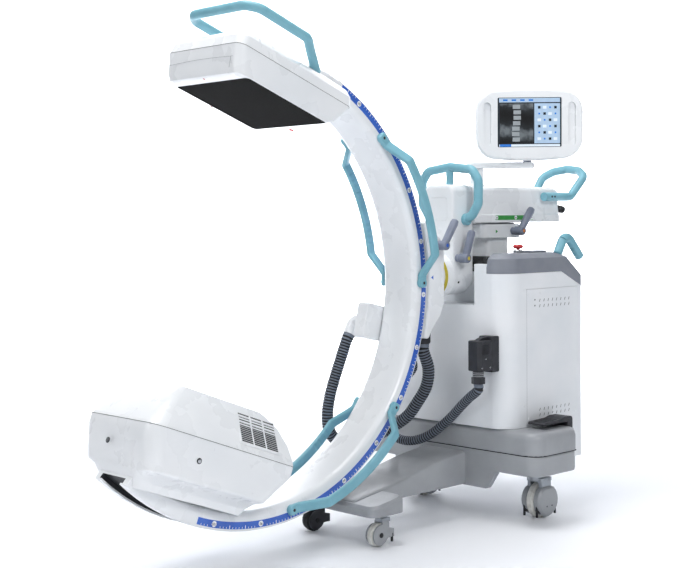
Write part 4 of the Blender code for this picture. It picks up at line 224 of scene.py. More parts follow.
def displayMaterial():
    material, tree, shader, place = startMaterial("litDisplay")
    bands = addNode(tree, "ShaderNodeTexWave", {"bands_direction": "Z", "Scale": 1000 / display["bandMm"] / 20,
                                                "Distortion": 3.0, "Detail": 2.0, "Detail Scale": 2.0},
                    {"Vector": place})
    clouds = addNode(tree, "ShaderNodeTexNoise", {"Scale": 38.0, "Detail": 5.0}, {"Vector": place})
    blend = addNode(tree, "ShaderNodeMath", {"operation": "MULTIPLY"},
                    {0: bands.outputs["Fac"], 1: clouds.outputs["Fac"]})
    tones = addNode(tree, "ShaderNodeValToRGB", links={"Fac": blend.outputs["Value"]})
    tones.color_ramp.elements[0].color = linear(display["dark"])
    tones.color_ramp.elements[1].position = 0.55
    tones.color_ramp.elements[1].color = linear(display["light"])
    middle = tones.color_ramp.elements.new(0.25)
    middle.color = linear(display["mid"])
    tree.links.new(tones.outputs["Color"], shader.inputs["Base Color"])
    tree.links.new(tones.outputs["Color"], shader.inputs["Emission Color"])
    shader.inputs["Emission Strength"].default_value = display["glow"]
    shader.inputs["Roughness"].default_value = 0.12
    shader.inputs["Coat Weight"].default_value = 0.6
    return material


# Screen tiles: printed-looking fields that glow a little
tiles = {"tileSky": "9DB4CB", "tilePale": "CBD5DF", "tileSteel": "2F6FC0", "tileBone": "8A9094",
         "tileNight": "20262E"}


def tileMaterial(name):
    material, tree, shader, place = startMaterial(name)
    fade = addNode(tree, "ShaderNodeTexNoise", {"Scale": 60.0, "Detail": 1.0}, {"Vector": place})
    tones = addNode(tree, "ShaderNodeValToRGB", links={"Fac": fade.outputs["Fac"]})
    base = linear(tiles[name])
    tones.color_ramp.elements[0].color = tuple(c * 0.85 for c in base[:3]) + (1.0,)
    tones.color_ramp.elements[1].color = base
    tree.links.new(tones.outputs["Color"], shader.inputs["Base Color"])
    tree.links.new(tones.outputs["Color"], shader.inputs["Emission Color"])
    shader.inputs["Emission Strength"].default_value = 0.45
    shader.inputs["Roughness"].default_value = 0.2
    return material


finish = {name: skinMaterial(name) for name in skins}
finish.update({name: metalMaterial(name) for name in metals})
finish.update({name: tileMaterial(name) for name in tiles})
finish["litDisplay"] = displayMaterial()
print("materials made:", len(finish))


def fromMesh(bm, name):
    bmesh.ops.recalc_face_normals(bm, faces=bm.faces)
    mesh = bpy.data.meshes.new(name)
    bm.to_mesh(mesh)
    bm.free()
    made = bpy.data.objects.new(name, mesh)
    bpy.context.scene.collection.objects.link(made)
    return made


def settle(made, angle=35):
    graph = bpy.context.evaluated_depsgraph_get()
    mesh = bpy.data.meshes.new_from_object(made.evaluated_get(graph))
    made.modifiers.clear()
    made.data = mesh
    mesh.shade_smooth()
    mesh.set_sharp_from_angle(angle=math.radians(angle))
    return made


def roundEdges(made, width, segments=2, angle=30):
    rounding = made.modifiers.new("rounding", "BEVEL")
    rounding.width = width
    rounding.segments = segments
    rounding.limit_method = "ANGLE"
    rounding.angle_limit = math.radians(angle)
    rounding.use_clamp_overlap = True
    made.data.shade_smooth()
    weights = made.modifiers.new("weights", "WEIGHTED_NORMAL")
    weights.keep_sharp = True
    return settle(made, 38)


def wear(made, look, body):
    made.data.materials.clear()
    made.data.materials.append(finish[look])
    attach(made, body)
    return made


def addRing(bm, points):
    return [bm.verts.new(p) for p in points]


def loft(rings, name, closed=True):
    bm = bmesh.new()
    rows = [addRing(bm, ring) for ring in rings]
    count = len(rows[0])
    for low, high in zip(rows, rows[1:]):
        for k in range(count):
            bm.faces.new((low[k], low[(k + 1) % count], high[(k + 1) % count], high[k]))
    if closed:
        bm.faces.new(rows[0])
        bm.faces.new(rows[-1])
    return fromMesh(bm, name)


# Adds a turned form to a mesh: profile is (radius, height) pairs along the axis.
def turnedOn(bm, centre, axis, profile, sides=24):
    toAxis = Vector(axis).normalized().to_track_quat("Z", "Y").to_matrix()
    rows = []
    for radius, height in profile:
        ring = []
        for k in range(sides):
            a = 2 * math.pi * k / sides
            ring.append(Vector(centre) + toAxis @ Vector((radius * math.cos(a), radius * math.sin(a), height)))
        rows.append(addRing(bm, ring))
    for low, high in zip(rows, rows[1:]):
        for k in range(sides):
            bm.faces.new((low[k], low[(k + 1) % sides], high[(k + 1) % sides], high[k]))
    bm.faces.new(rows[0])
    bm.faces.new(rows[-1])


# Adds a small block with chamfered top edges; along and across are its first two directions.
def boxOn(bm, centre, along, across, sizes, inset=0.15):
    a = Vector(along).normalized()
    b = (Vector(across) - a * a.dot(Vector(across))).normalized()
    up = a.cross(b)
    halfA, halfB, height = sizes[0] / 2, sizes[1] / 2, sizes[2]
    edge = min(halfA, halfB, height) * inset
    rows = []
    for shrink, z in ((0.0, 0.0), (0.0, height - edge), (edge, height)):
        corners = [(-1, -1), (1, -1), (1, 1), (-1, 1)]
        rows.append(addRing(bm, [Vector(centre) + a * sa * (halfA - shrink) + b * sb * (halfB - shrink) + up * z
                                 for sa, sb in corners]))
    for low, high in zip(rows, rows[1:]):
        for k in range(4):
            bm.faces.new((low[k], low[(k + 1) % 4], high[(k + 1) % 4], high[k]))
    bm.faces.new(rows[0])
    bm.faces.new(rows[-1])


def onC(radius, angle, y):
    a = math.radians(angle)
    return gantry["centre"] + Vector((radius * math.cos(a), y, radius * math.sin(a)))


# A point in the beam's own frame: u across it, w along it from the C's centre.
def onBeam(u, y, w):
    t = math.radians(gantry["turn"])
    return gantry["centre"] + Vector((u * math.cos(t) + w * math.sin(t), y, -u * math.sin(t) + w * math.cos(t)))


def beamWay(u, y, w):
    return onBeam(u, y, w) - gantry["centre"]


def between(first, last, share):
    whole = first.angle(last)
    if whole < 1e-4:
        return first.copy()
    return (first * math.sin((1 - share) * whole) + last * math.sin(share * whole)) / math.sin(whole)


def bent(points, radius, step=6):
    path = [Vector(points[0])]
    for before, here, after in zip(points, points[1:], points[2:]):
        here = Vector(here)
        one = Vector(before) - here
        two = Vector(after) - here
        half = one.angle(two) / 2
        if half > math.pi / 2 - 0.02:
            path.append(here)
            continue
        reach = min(radius / math.tan(half), 0.45 * one.length, 0.45 * two.length)
        middle = here + (one.normalized() + two.normalized()).normalized() * reach / math.cos(half)
        first = here + one.normalized() * reach - middle
        last = here + two.normalized() * reach - middle
        count = max(3, round(math.degrees(first.angle(last)) / step))
        path.extend(middle + between(first, last, k / count) for k in range(count + 1))
    path.append(Vector(points[-1]))
    return path


def flowing(points, spacing):
    points = [Vector(p) for p in points]
    ends = [2 * points[0] - points[1]] + points + [2 * points[-1] - points[-2]]
    fine = []
    for p0, p1, p2, p3 in zip(ends, ends[1:], ends[2:], ends[3:]):
        for k in range(24):
            t = k / 24
            bend = 2 * p1 + (p2 - p0) * t + (2 * p0 - 5 * p1 + 4 * p2 - p3) * t ** 2
            fine.append(0.5 * (bend + (3 * p1 - p0 - 3 * p2 + p3) * t ** 3))
    fine.append(points[-1])
    length = sum((b - a).length for a, b in zip(fine, fine[1:]))
    count = max(2, round(length / spacing))
    path = [fine[0]]
    walked = 0.0
    for a, b in zip(fine, fine[1:]):
        run = (b - a).length
        while run > 1e-9 and walked + run >= length * len(path) / count and len(path) < count:
            path.append(a.lerp(b, (length * len(path) / count - walked) / run))
        walked += run
    path.append(fine[-1])
    return path


# A round body along a path; radii has one number for each point. The rings are carried without twist.
def pipe(path, radii, sides, name):
    way = (path[1] - path[0]).normalized()
    side = way.orthogonal().normalized()
    rings = []
    for k, place in enumerate(path):
        now = (path[min(k + 1, len(path) - 1)] - path[max(k - 1, 0)]).normalized()
        side = (side - now * side.dot(now)).normalized()
        rise = now.cross(side)
        ring = []
        for j in range(sides):
            a = 2 * math.pi * j / sides
            ring.append(place + (side * math.cos(a) + rise * math.sin(a)) * radii[k])
        rings.append(ring)
    return loft(rings, name)


# Hoses: the source's own route points; corrugated, ribs 9.6 mm apart and 2.8 mm deep
hoses = {
    "loop_hose": {"diameter": 0.042, "start": (0.1758, -0.040, 0.6140), "down": (0, 0, -1),
                  "end": (0.0328, 0.1748, 0.6419), "endWay": (0.5336, 0.0, 0.8457), "body": "carriage_unit",
                  "route": [(0.768, -0.036, 0.500), (0.762, 0.000, 0.425), (0.752, 0.057, 0.352),
                            (0.715, 0.125, 0.300), (0.640, 0.178, 0.262), (0.560, 0.200, 0.272),
                            (0.515, 0.200, 0.325), (0.510, 0.196, 0.395), (0.528, 0.190, 0.474)]},
    "cart_hose": {"diameter": 0.033, "start": (0.2519, -0.2185, 0.4847), "down": (0, 0, -1),
                  "end": (0.1758, 0.040, 0.6140), "endWay": (0, 0, 1), "body": "cart",
                  "route": [(0.822, -0.150, 0.416), (0.826, -0.075, 0.350), (0.812, 0.000, 0.290),
                            (0.798, 0.070, 0.262), (0.790, 0.140, 0.264), (0.790, 0.195, 0.312),
                            (0.796, 0.190, 0.390), (0.800, 0.130, 0.460), (0.800, 0.070, 0.520)]},
}


def makeHose(name):
    hose = hoses[name]
    diameter = hose["diameter"]
    start = Vector(hose["start"])
    end = Vector(hose["end"])
    straight = diameter * 0.6
    route = [Vector((gantry["centre"].x + x, y, z)) for x, y, z in hose["route"]]
    inner = [start + Vector(hose["down"]) * straight] + route + [end - Vector(hose["endWay"]) * straight]
    knots = [start] + flowing(inner, diameter * 1.6) + [end]
    fine = flowing(knots, 0.0016)
    radius = diameter / 2
    pattern = (0.0, 0.0, -0.0004, -0.0026, -0.0028, -0.0004)
    radii = [radius + (pattern[k % 6] if 5 < k < len(fine) - 6 else -0.0006) for k in range(len(fine))]
    made = settle(pipe(fine, radii, 22, name + "_ribbed"), 50)
    wear(made, "hosePlastic", hose["body"])
    # A second finish, black, is painted shade in the grooves between the ribs
    made.data.materials.append(finish["blackRubberAndShade"])
    for face in made.data.polygons:
        ring = face.index // 22
        if ring % 6 in (2, 3, 4) and 5 < ring < len(fine) - 7:
            face.material_index = 1  # painted shade in the grooves between the ribs
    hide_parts(name)


for name in hoses:
    makeHose(name)


# Fine skins: each carried-over solid gets rounded edges and its own finish
nodeLooks = {
    "base_chassis": ("castGrey", 0.0025), "base_cover": ("castGrey", 0.003), "cart_body": ("powderCoat", 0.003),
    "side_panel_left": ("powderCoat", 0.0006), "side_panel_right": ("powderCoat", 0.0006),
    "top_cover": ("mouldedAbs", 0.003), "column_tray": ("pianoBlack", 0.0012), "control_panel": ("mouldedAbs", 0.001),
    "e_stop_collar": ("turnedStainless", 0.0006), "e_stop_button": ("redPhenolic", 0.0012),
    "connector_flange": ("filledNylon", 0.0012), "connector_hood": ("filledNylon", 0.0015),
    "brake_pedal_left": ("filledNylon", 0.0012), "brake_pedal_right": ("filledNylon", 0.0012),
    "rear_fork_left": ("castGrey", 0.0010), "rear_fork_right": ("castGrey", 0.0010),
    "rear_wheel_left": ("castTread", 0.0012), "rear_wheel_right": ("castTread", 0.0012),
    # The far front caster's fork and wheel are dark all over, unlike the near one
    "front_fork_left": ("castGrey", 0.0008), "front_fork_right": ("filledNylon", 0.0008),
    "front_wheel_left": ("castTread", 0.0010), "front_wheel_right": ("blackRubberAndShade", 0.0010),
    "lift_column": ("sprayedEnamel", 0.0010), "swivel_collar": ("sprayedEnamel", 0.0015),
    "arm_housing": ("sprayedEnamel", 0.0025), "arm_head": ("sprayedEnamel", 0.003),
    "head_access_cover": ("sprayedEnamel", 0.0006), "monitor_post": ("sprayedEnamel", 0.0012),
    "carriage_lever": ("leverPolyamide", 0.0016), "angulation_lever": ("leverPolyamide", 0.0016),
    "swivel_lever": ("leverPolyamide", 0.0016), "arm_lever": ("blackRubberAndShade", 0.0016),
    "monitor_arm": ("sprayedEnamel", 0.0012), "monitor_knuckle": ("leverPolyamide", 0.0010),
    "monitor_housing": ("sprayedEnamel", 0.0012), "monitor_screen": ("tileNight", 0.0003),
    "rotation_disc": ("sprayedEnamel", 0.0012), "carriage": ("sprayedEnamel", 0.0025),
    "track_shoe": ("filledNylon", 0.0006), "carriage_gland_left": ("filledNylon", 0.0012),
    "carriage_gland_right": ("filledNylon", 0.0012), "cable_box": ("sprayedEnamel", 0.0016),
    "detector_body": ("sprayedEnamel", 0.0016), "detector_cover": ("sprayedEnamel", 0.0030),
    "detector_face": ("carbonLacquer", 0.0005), "tube_body": ("sprayedEnamel", 0.0020),
    "tube_cover": ("sprayedEnamel", 0.0020),
}


def fineSkin(name):
    look, width = nodeLooks[name]
    bm = bmesh.new()
    bm.from_mesh(frame["nodes"][name].data)
    bmesh.ops.remove_doubles(bm, verts=bm.verts, dist=1e-5)
    bmesh.ops.dissolve_limit(bm, angle_limit=math.radians(0.6), verts=bm.verts, edges=bm.edges)
    made = fromMesh(bm, name + "_skin")
    roundEdges(made, width)
    wear(made, look, nodeBody[name])
    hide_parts(name)
    return made


for name in nodeLooks:
    fineSkin(name)
print("skins made:", len(nodeLooks))


# Gives the faces of a skin whose middle passes the test a second finish.
def repaint(name, look, test):
    mesh = bpy.data.objects[name + "_skin"].data
    mesh.materials.append(finish[look])
    spot = len(mesh.materials) - 1
    for face in mesh.polygons:
        if test(face.center, face.normal):
            face.material_index = spot


# Casters: black cable rods, zinc brackets and stems
for word in ("left", "right"):
    repaint("rear_fork_" + word, "blackRubberAndShade", lambda c, n: c.z < 0.034 and abs(abs(c.x - 0.516) - 0.050) < 0.007)
    repaint("rear_fork_" + word, "zincPlate", lambda c, n: c.z > 0.1105)
    repaint("front_fork_" + word, "blackRubberAndShade", lambda c, n: c.z < 0.024 and abs(c.x + 0.1125) < 0.008)
    repaint("front_fork_" + word, "zincPlate", lambda c, n: c.z > 0.0775)

# The C: its section with small roundings, carried round in fine steps
cRing = {"stepDeg": 1.2, "mouth": 0.046, "under": 0.056, "lip": 0.006, "depth": 0.022}


def makeRing():
    outer = gantry["outer"]
    half = gantry["half"]
    lip = outer - cRing["lip"]
    floor = outer - cRing["depth"]
    side = [(gantry["inner"], half - 0.022), (gantry["inner"] + 0.0012, half - 0.0160),
            (gantry["inner"] + 0.0052, half - 0.0075), (gantry["inner"] + 0.012, half - 0.0012),
            (gantry["inner"] + 0.018, half), (outer - 0.0068, half), (outer - 0.0024, half - 0.0012),
            (outer - 0.0004, half - 0.0040), (outer, half - 0.0075), (outer, cRing["mouth"] + 0.001),
            (outer - 0.001, cRing["mouth"]), (lip, cRing["mouth"]), (lip, cRing["under"]), (floor, cRing["under"])]
    section = side + [(r, -y) for r, y in reversed(side)]
    count = round((gantry["tip"] - gantry["tail"]) / cRing["stepDeg"])
    rings = []
    for k in range(count + 1):
        angle = gantry["tail"] + (gantry["tip"] - gantry["tail"]) * k / count
        rings.append([onC(r, angle, y) for r, y in section])
    made = settle(loft(rings, "c_ring_skin"), 40)
    wear(made, "sprayedEnamel", "c_arm")
    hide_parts("c_ring")
    made.data.materials.append(finish["filledNylon"])
    for face in made.data.polygons:
        middle = face.center - gantry["centre"]
        if len(face.vertices) > 4:
            continue
        if math.hypot(middle.x, middle.z) < lip + 0.0005 and abs(middle.y) < cRing["under"] + 0.001:
            if math.hypot(middle.x, middle.z) > floor - 0.001:
                face.material_index = 1  # the track's floor, the lip's undersides and the undercuts take the dark nylon finish
    return made


makeRing()
print("C profile made")

# Orbital scale on both sides: blue film, white ticks one degree apart, white discs with plain numbers
scale = {"low": 0.6890, "high": 0.7106, "start": 62.0, "end": -111.7, "firstDisc": 54.72, "stepDeg": 14.66,
         "discs": 12, "major": 3, "minor": 5, "discRadius": 0.0088, "lift": 0.0005}


def textShape(words, size):
    data = bpy.data.curves.new("digits", "FONT")
    data.body = words
    data.size = size
    data.align_x = "CENTER"
    data.align_y = "CENTER"
    data.offset = size * 0.012
    data.resolution_u = 3
    holder = bpy.data.objects.new("digits", data)
    bpy.context.scene.collection.objects.link(holder)
    graph = bpy.context.evaluated_depsgraph_get()
    mesh = bpy.data.meshes.new_from_object(holder.evaluated_get(graph))
    points = [v.co.copy() for v in mesh.vertices]
    faces = [tuple(p.vertices) for p in mesh.polygons]
    bpy.data.objects.remove(holder, do_unlink=True)
    bpy.data.meshes.remove(mesh)
    return points, faces


# A thin plate between two copies of one outline.
def plateOn(bm, outline, lower, upper):
    low = addRing(bm, lower)
    high = addRing(bm, upper)
    count = len(outline)
    for k in range(count):
        bm.faces.new((low[k], low[(k + 1) % count], high[(k + 1) % count], high[k]))
    bm.faces.new(low)
    bm.faces.new(high)


def arcPlate(bm, low, high, start, end, y0, y1, step=1.5):
    count = max(1, round(abs(end - start) / step))
    rings = []
    for k in range(count + 1):
        a = start + (end - start) * k / count
        rings.append(addRing(bm, [onC(low, a, y0), onC(high, a, y0), onC(high, a, y1), onC(low, a, y1)]))
    for first, second in zip(rings, rings[1:]):
        for k in range(4):
            bm.faces.new((first[k], first[(k + 1) % 4], second[(k + 1) % 4], second[k]))
    bm.faces.new(rings[0])
    bm.faces.new(rings[-1])


def makeScale(side, word):
    face = side * gantry["half"]
    film = bmesh.new()
    arcPlate(film, scale["low"], scale["high"], scale["end"], scale["start"], face, face + side * scale["lift"])
    wear(settle(fromMesh(film, "orbital_scale_" + word)), "inkBlue", "c_arm")
    ticks = bmesh.new()
    top = face + side * (scale["lift"] + 0.0002)
    base = face + side * scale["lift"] * 0.6
    minorStep = scale["stepDeg"] / (scale["major"] * scale["minor"])
    count = 0
    angle = scale["firstDisc"] + 5 * minorStep
    while angle > scale["end"] + 0.5:
        offset = round((scale["firstDisc"] - angle) / minorStep)
        length = 0.0095 if offset % scale["minor"] == 0 else 0.0052
        width = 0.10 if offset % scale["minor"] == 0 else 0.065
        near = offset % (scale["major"] * scale["minor"])
        if near not in (0, 1, scale["major"] * scale["minor"] - 1):
            arcPlate(ticks, scale["high"] - 0.0012 - length, scale["high"] - 0.0012, angle - width, angle + width,
                     base, top, 1)
        angle -= minorStep
        count += 1
    discs = bmesh.new()
    digits = bmesh.new()
    for k in range(scale["discs"]):
        angle = scale["firstDisc"] - k * scale["stepDeg"]
        middle = onC((scale["low"] + scale["high"]) / 2, angle, face)
        r = scale["discRadius"]
        turnedOn(discs, middle, (0, side, 0), [(r, scale["lift"] * 0.5), (r, scale["lift"] + 0.0002),
                                              (r - 0.0003, scale["lift"] + 0.0004)], 28)
        points, faces = textShape(str(abs(15 * (4 - k))), 0.0115)
        radial = (onC(1, angle, 0) - gantry["centre"]).normalized()
        upward = radial
        sideways = upward.cross(Vector((0, side, 0))) * 1.0
        made = []
        for p in points:
            made.append(digits.verts.new(middle + sideways * p.x + upward * p.y
                                         + Vector((0, side * (scale["lift"] + 0.0006), 0))))
        for f in faces:
            digits.faces.new([made[i] for i in f])
    wear(settle(fromMesh(ticks, "orbital_ticks_" + word)), "inkWhite", "c_arm")
    wear(settle(fromMesh(discs, "orbital_discs_" + word)), "inkWhite", "c_arm")
    bmesh.ops.solidify(digits, geom=digits.faces, thickness=0.0002)
    wear(settle(fromMesh(digits, "orbital_digits_" + word)), "inkDarkAndShade", "c_arm")
    print("scale", word, "with", count, "tick places")


for side, word in ((-1, "left"), (1, "right")):
    makeScale(side, word)


# Screws: a domed head with a dark hexagon on it, painted shade of its socket, and flat dots, at given spots with
# their outward directions
def makeScrews(name, spots, look, body, radius, dark=True):
    heads = bmesh.new()
    socket_shade = bmesh.new()
    for spot, out in spots:
        out = Vector(out).normalized()
        turnedOn(heads, Vector(spot) - out * 0.0006, out,
                 [(radius, 0.0), (radius, 0.0010), (radius * 0.82, 0.0018), (radius * 0.4, 0.0021)], 20)
        # The socket is a dark hexagon: painted shade where its recess would be
        turnedOn(socket_shade, Vector(spot) + out * 0.0009, out, [(radius * 0.42, 0.0), (radius * 0.42, 0.0009)], 6)
    wear(settle(fromMesh(heads, name)), look, body)
    if dark:
        wear(settle(fromMesh(socket_shade, name + "_sockets")), "inkDarkAndShade", body)
    else:
        bpy.data.objects.remove(fromMesh(socket_shade, name + "_unused"), do_unlink=True)


def makeDots(name, spots, look, body, radius, height=0.0006, sides=20):
    dots = bmesh.new()
    for spot, out in spots:
        turnedOn(dots, Vector(spot) - Vector(out).normalized() * 0.0004, out,
                 [(radius, 0.0), (radius, height * 0.7 + 0.0004), (radius * 0.86, height + 0.0004)], sides)
    wear(settle(fromMesh(dots, name)), look, body)


left = (0, -1, 0)
right = (0, 1, 0)
front = (-1, 0, 0)

# Cart: panel and shell screws, panel seams and indicator dots
cart = {"rear": 0.746, "half": 0.287, "seamX": 0.4260, "seamLow": 0.318, "seamHigh": 0.800}
panelSpots = []
for x, z in ((0.436, 0.776), (0.502, 0.781), (0.700, 0.700), (0.436, 0.352), (0.700, 0.352), (0.566, 0.352)):
    for y, out in ((-cart["half"], left), (cart["half"], right)):
        panelSpots.append(((x, y, z), out))
makeScrews("panel_screws", panelSpots, "powderCoat", "cart", 0.0062, dark=False)
shellSpots = [((0.4135, way * cart["half"], z), out) for z in (0.792, 0.40) for way, out in ((-1, left), (1, right))]
makeScrews("shell_screws", shellSpots, "powderCoat", "cart", 0.0058, dark=False)
seams = bmesh.new()
for side in (-1, 1):
    boxOn(seams, (cart["seamX"], side * (cart["half"] - 0.0002), (cart["seamHigh"] + cart["seamLow"]) / 2),
          (0, 0, 1), (-side, 0, 0), (cart["seamHigh"] - cart["seamLow"], 0.0012, 0.0005), 0.2)
wear(settle(fromMesh(seams, "panel_seams")), "castGrey", "cart")
makeDots("panel_dots", [((0.470, -cart["half"], z), left) for z in (0.758, 0.738)], "inkDarkAndShade", "cart",
         0.0028)


# Painted shade over the side panels' slanted slots, dark plates as their mouths: three for each of the source's
# slots, as the photo's fine rows
vents = {"first": 0.494, "pitch": 0.007875, "count": 24, "rows": (0.750, 0.731, 0.355, 0.374), "lean": 0.004,
         "tall": 0.010, "wide": 0.0030}


def ventShadows():
    shade = bmesh.new()
    for side in (-1, 1):
        for z in vents["rows"]:
            for k in range(vents["count"]):
                x = vents["first"] + k * vents["pitch"] + 0.0035
                boxOn(shade, (x, side * 0.2867, z + 0.005), (vents["lean"], 0, vents["tall"]), (-side, 0, 0),
                      (0.0108, vents["wide"], 0.0005), 0.2)
    wear(settle(fromMesh(shade, "vent_shadows")), "inkDarkAndShade", "cart")


ventShadows()


# Rear hatch: a thin plate with rounded corners, six screws and three columns of dark plates, painted shade standing
# for its vents
def makeHatch():
    outline = []
    for cy, cz, first in ((0.215, 0.735, 0), (-0.215, 0.735, 90), (-0.215, 0.275, 180), (0.215, 0.275, 270)):
        for k in range(6):
            a = math.radians(first + 90 * k / 5)
            outline.append((cy + 0.02 * math.cos(a), cz + 0.02 * math.sin(a)))
    back = cart["rear"]
    middle = 0.505
    plate = loft([[Vector((back - 0.001, y, z)) for y, z in outline],
                  [Vector((back + 0.0026, y, z)) for y, z in outline],
                  [Vector((back + 0.0034, y * 0.996, middle + (z - middle) * 0.996)) for y, z in outline]],
                 "rear_hatch")
    wear(settle(plate), "powderCoat", "cart")
    spots = [((back + 0.0032, y, z), (1, 0, 0)) for y in (-0.205, 0.205) for z in (0.29, 0.505, 0.72)]
    makeScrews("hatch_screws", spots, "turnedStainless", "cart", 0.0052)
    # The vents are dark plates on the hatch: painted shade where openings would be
    ventShade = bmesh.new()
    for row in range(9):
        for y in (-0.09, 0.0, 0.09):
            boxOn(ventShade, (back + 0.0030, y, 0.33 + row * 0.014), (0, 1, 0), (0, 0, 1), (0.066, 0.0052, 0.0008), 0.3)
    wear(settle(fromMesh(ventShade, "hatch_vent_shade")), "inkDarkAndShade", "cart")


makeHatch()


def makeKeypad():
    pads = bmesh.new()
    marks = bmesh.new()
    for column in range(5):
        for row in range(2):
            spot = Vector((0.4975 + column * 0.0165, -0.2450 + row * 0.0180, 0.9236))
            boxOn(pads, spot, (1, 0, 0), (0, 1, 0), (0.0125, 0.0125, 0.0014), 0.5)
            turnedOn(marks, spot + Vector((0, 0, 0.0014)), (0, 0, 1), [(0.0028, -0.0004), (0.0028, 0.0003)],
                     3 if column % 2 else 16)
    wear(settle(fromMesh(pads, "keypad_pads")), "leverPolyamide", "cart")
    wear(settle(fromMesh(marks, "keypad_marks")), "inkWhite", "cart")


makeKeypad()


# Painted shade in the seam between the base casting and its cover: a thin black band inside the gap.
def makeGasket():
    bm = bmesh.new()
    for z0, z1, inset in ((0.2461, 0.2500, 0.0022),):
        outline = []
        corner = 0.055 - inset
        x0, x1, y1 = 0.321 + inset, 0.541 - 0.001, 0.410 - inset
        for k in range(9):
            a = math.radians(180 + 90 * k / 8)
            outline.append((x0 + corner + corner * math.cos(a), -y1 + corner + corner * math.sin(a)))
        outline += [(x1, -y1), (x1, y1)]
        for k in range(9):
            a = math.radians(90 + 90 * k / 8)
            outline.append((x0 + corner + corner * math.cos(a), y1 - corner + corner * math.sin(a)))
        plateOn(bm, outline, [Vector((x, y, z0)) for x, y in outline], [Vector((x, y, z1)) for x, y in outline])
    wear(settle(fromMesh(bm, "base_seam_shade")), "blackRubberAndShade", "cart")


makeGasket()

# Pedal treads: raised ribs
for side, word in ((-1, "left"), (1, "right")):
    treads = bmesh.new()
    for k in range(5):
        boxOn(treads, (0.4290 + 0.016 * k, side * 0.334, 0.3486 + 0.0006 * k), (0, 1, 0), (-1, 0, 0.0),
              (0.052, 0.0050, 0.0012), 0.6)
    wear(settle(fromMesh(treads, "pedal_treads_" + word)), "blackRubberAndShade", "pedal_" + word)

# Head, collar, arm: screws, green position strip, pointers
makeDots("head_dots", [((0.3002, -0.0335, 1.0700), front)], "inkDarkAndShade", "arm", 0.0034)
makeDots("head_side_dots", [((0.330, -0.0655, 0.8170), (0, -1, -0.36))], "inkDarkAndShade", "arm", 0.0042)
armStrip = {"x": (0.522, 0.733), "z": (1.0305, 1.0470), "discs": (0.528, 0.6345, 0.7270)}


def makeArmStrip():
    for side, word in ((-1, "left"), (1, "right")):
        strip = bmesh.new()
        y = side * 0.0730
        sizes = (armStrip["x"][1] - armStrip["x"][0], armStrip["z"][1] - armStrip["z"][0], 0.0007)
        boxOn(strip, (sum(armStrip["x"]) / 2, y - side * 0.0002, sum(armStrip["z"]) / 2), (-side, 0, 0), (0, 0, 1),
              sizes, 0.3)
        wear(settle(fromMesh(strip, "reach_strip_" + word)), "inkGreen", "arm")
        out = left if side < 0 else right
        spots = [((x, y + side * 0.0005, sum(armStrip["z"]) / 2), out) for x in armStrip["discs"]]
        makeDots("reach_discs_" + word, spots, "inkWhite", "arm", 0.0070, 0.0006, 24)
        makeDots("reach_dots_" + word, [((x, yy + side * 0.0006, z), o) for (x, yy, z), o in spots], "inkDarkAndShade", "arm",
                 0.0034, 0.0004, 4)
    point = bmesh.new()
    for y, out in ((-0.0650, left), (0.0650, right)):
        turnedOn(point, (0.536, y, 0.9900), out, [(0.0075, -0.0004), (0.0075, 0.0006)], 3)
    wear(settle(fromMesh(point, "reach_pointer")), "inkGreen", "swivel")


makeArmStrip()
makeDots("rear_foot_screws", [((x, -0.1021, 1.1145), left) for x in (0.812, 0.829)]
         + [((x, 0.1021, 1.1145), right) for x in (0.812, 0.829)], "inkDarkAndShade", "arm", 0.0040)

# Lever caps: a small round of colour on the end of each hub shows what the lever locks
levers = {"carriage": ((0.1924, -0.085, 0.948), left, "inkBlue", "carriage_clamp"),
          "angulation": ((0.3195, -0.069, 0.901), left, "inkYellow", "angulation_clamp"),
          "swivel": ((0.626, -0.065, 0.991), left, "inkOrange", "swivel_clamp"),
          "reach": ((0.895, 0.036, 1.083), (1, 0, 0), "inkGreen", "arm_clamp")}
for name, (hub, out, look, body) in levers.items():
    spot = Vector(hub) + Vector(out) * 0.0523
    makeDots("lever_rim_" + name, [(spot, out)], "leverPolyamide", body, 0.0095, 0.0008, 24)
    makeDots("lever_cap_" + name, [(spot + Vector(out) * 0.0006, out)], look, body, 0.0062, 0.0010, 24)

# Angulation scale: a yellow arc with ticks on the disc's step, and blue pointers on the carriage
angulation = {"centre": (0.2617, 0.0, 0.840), "low": 0.0655, "high": 0.0785, "span": 80}


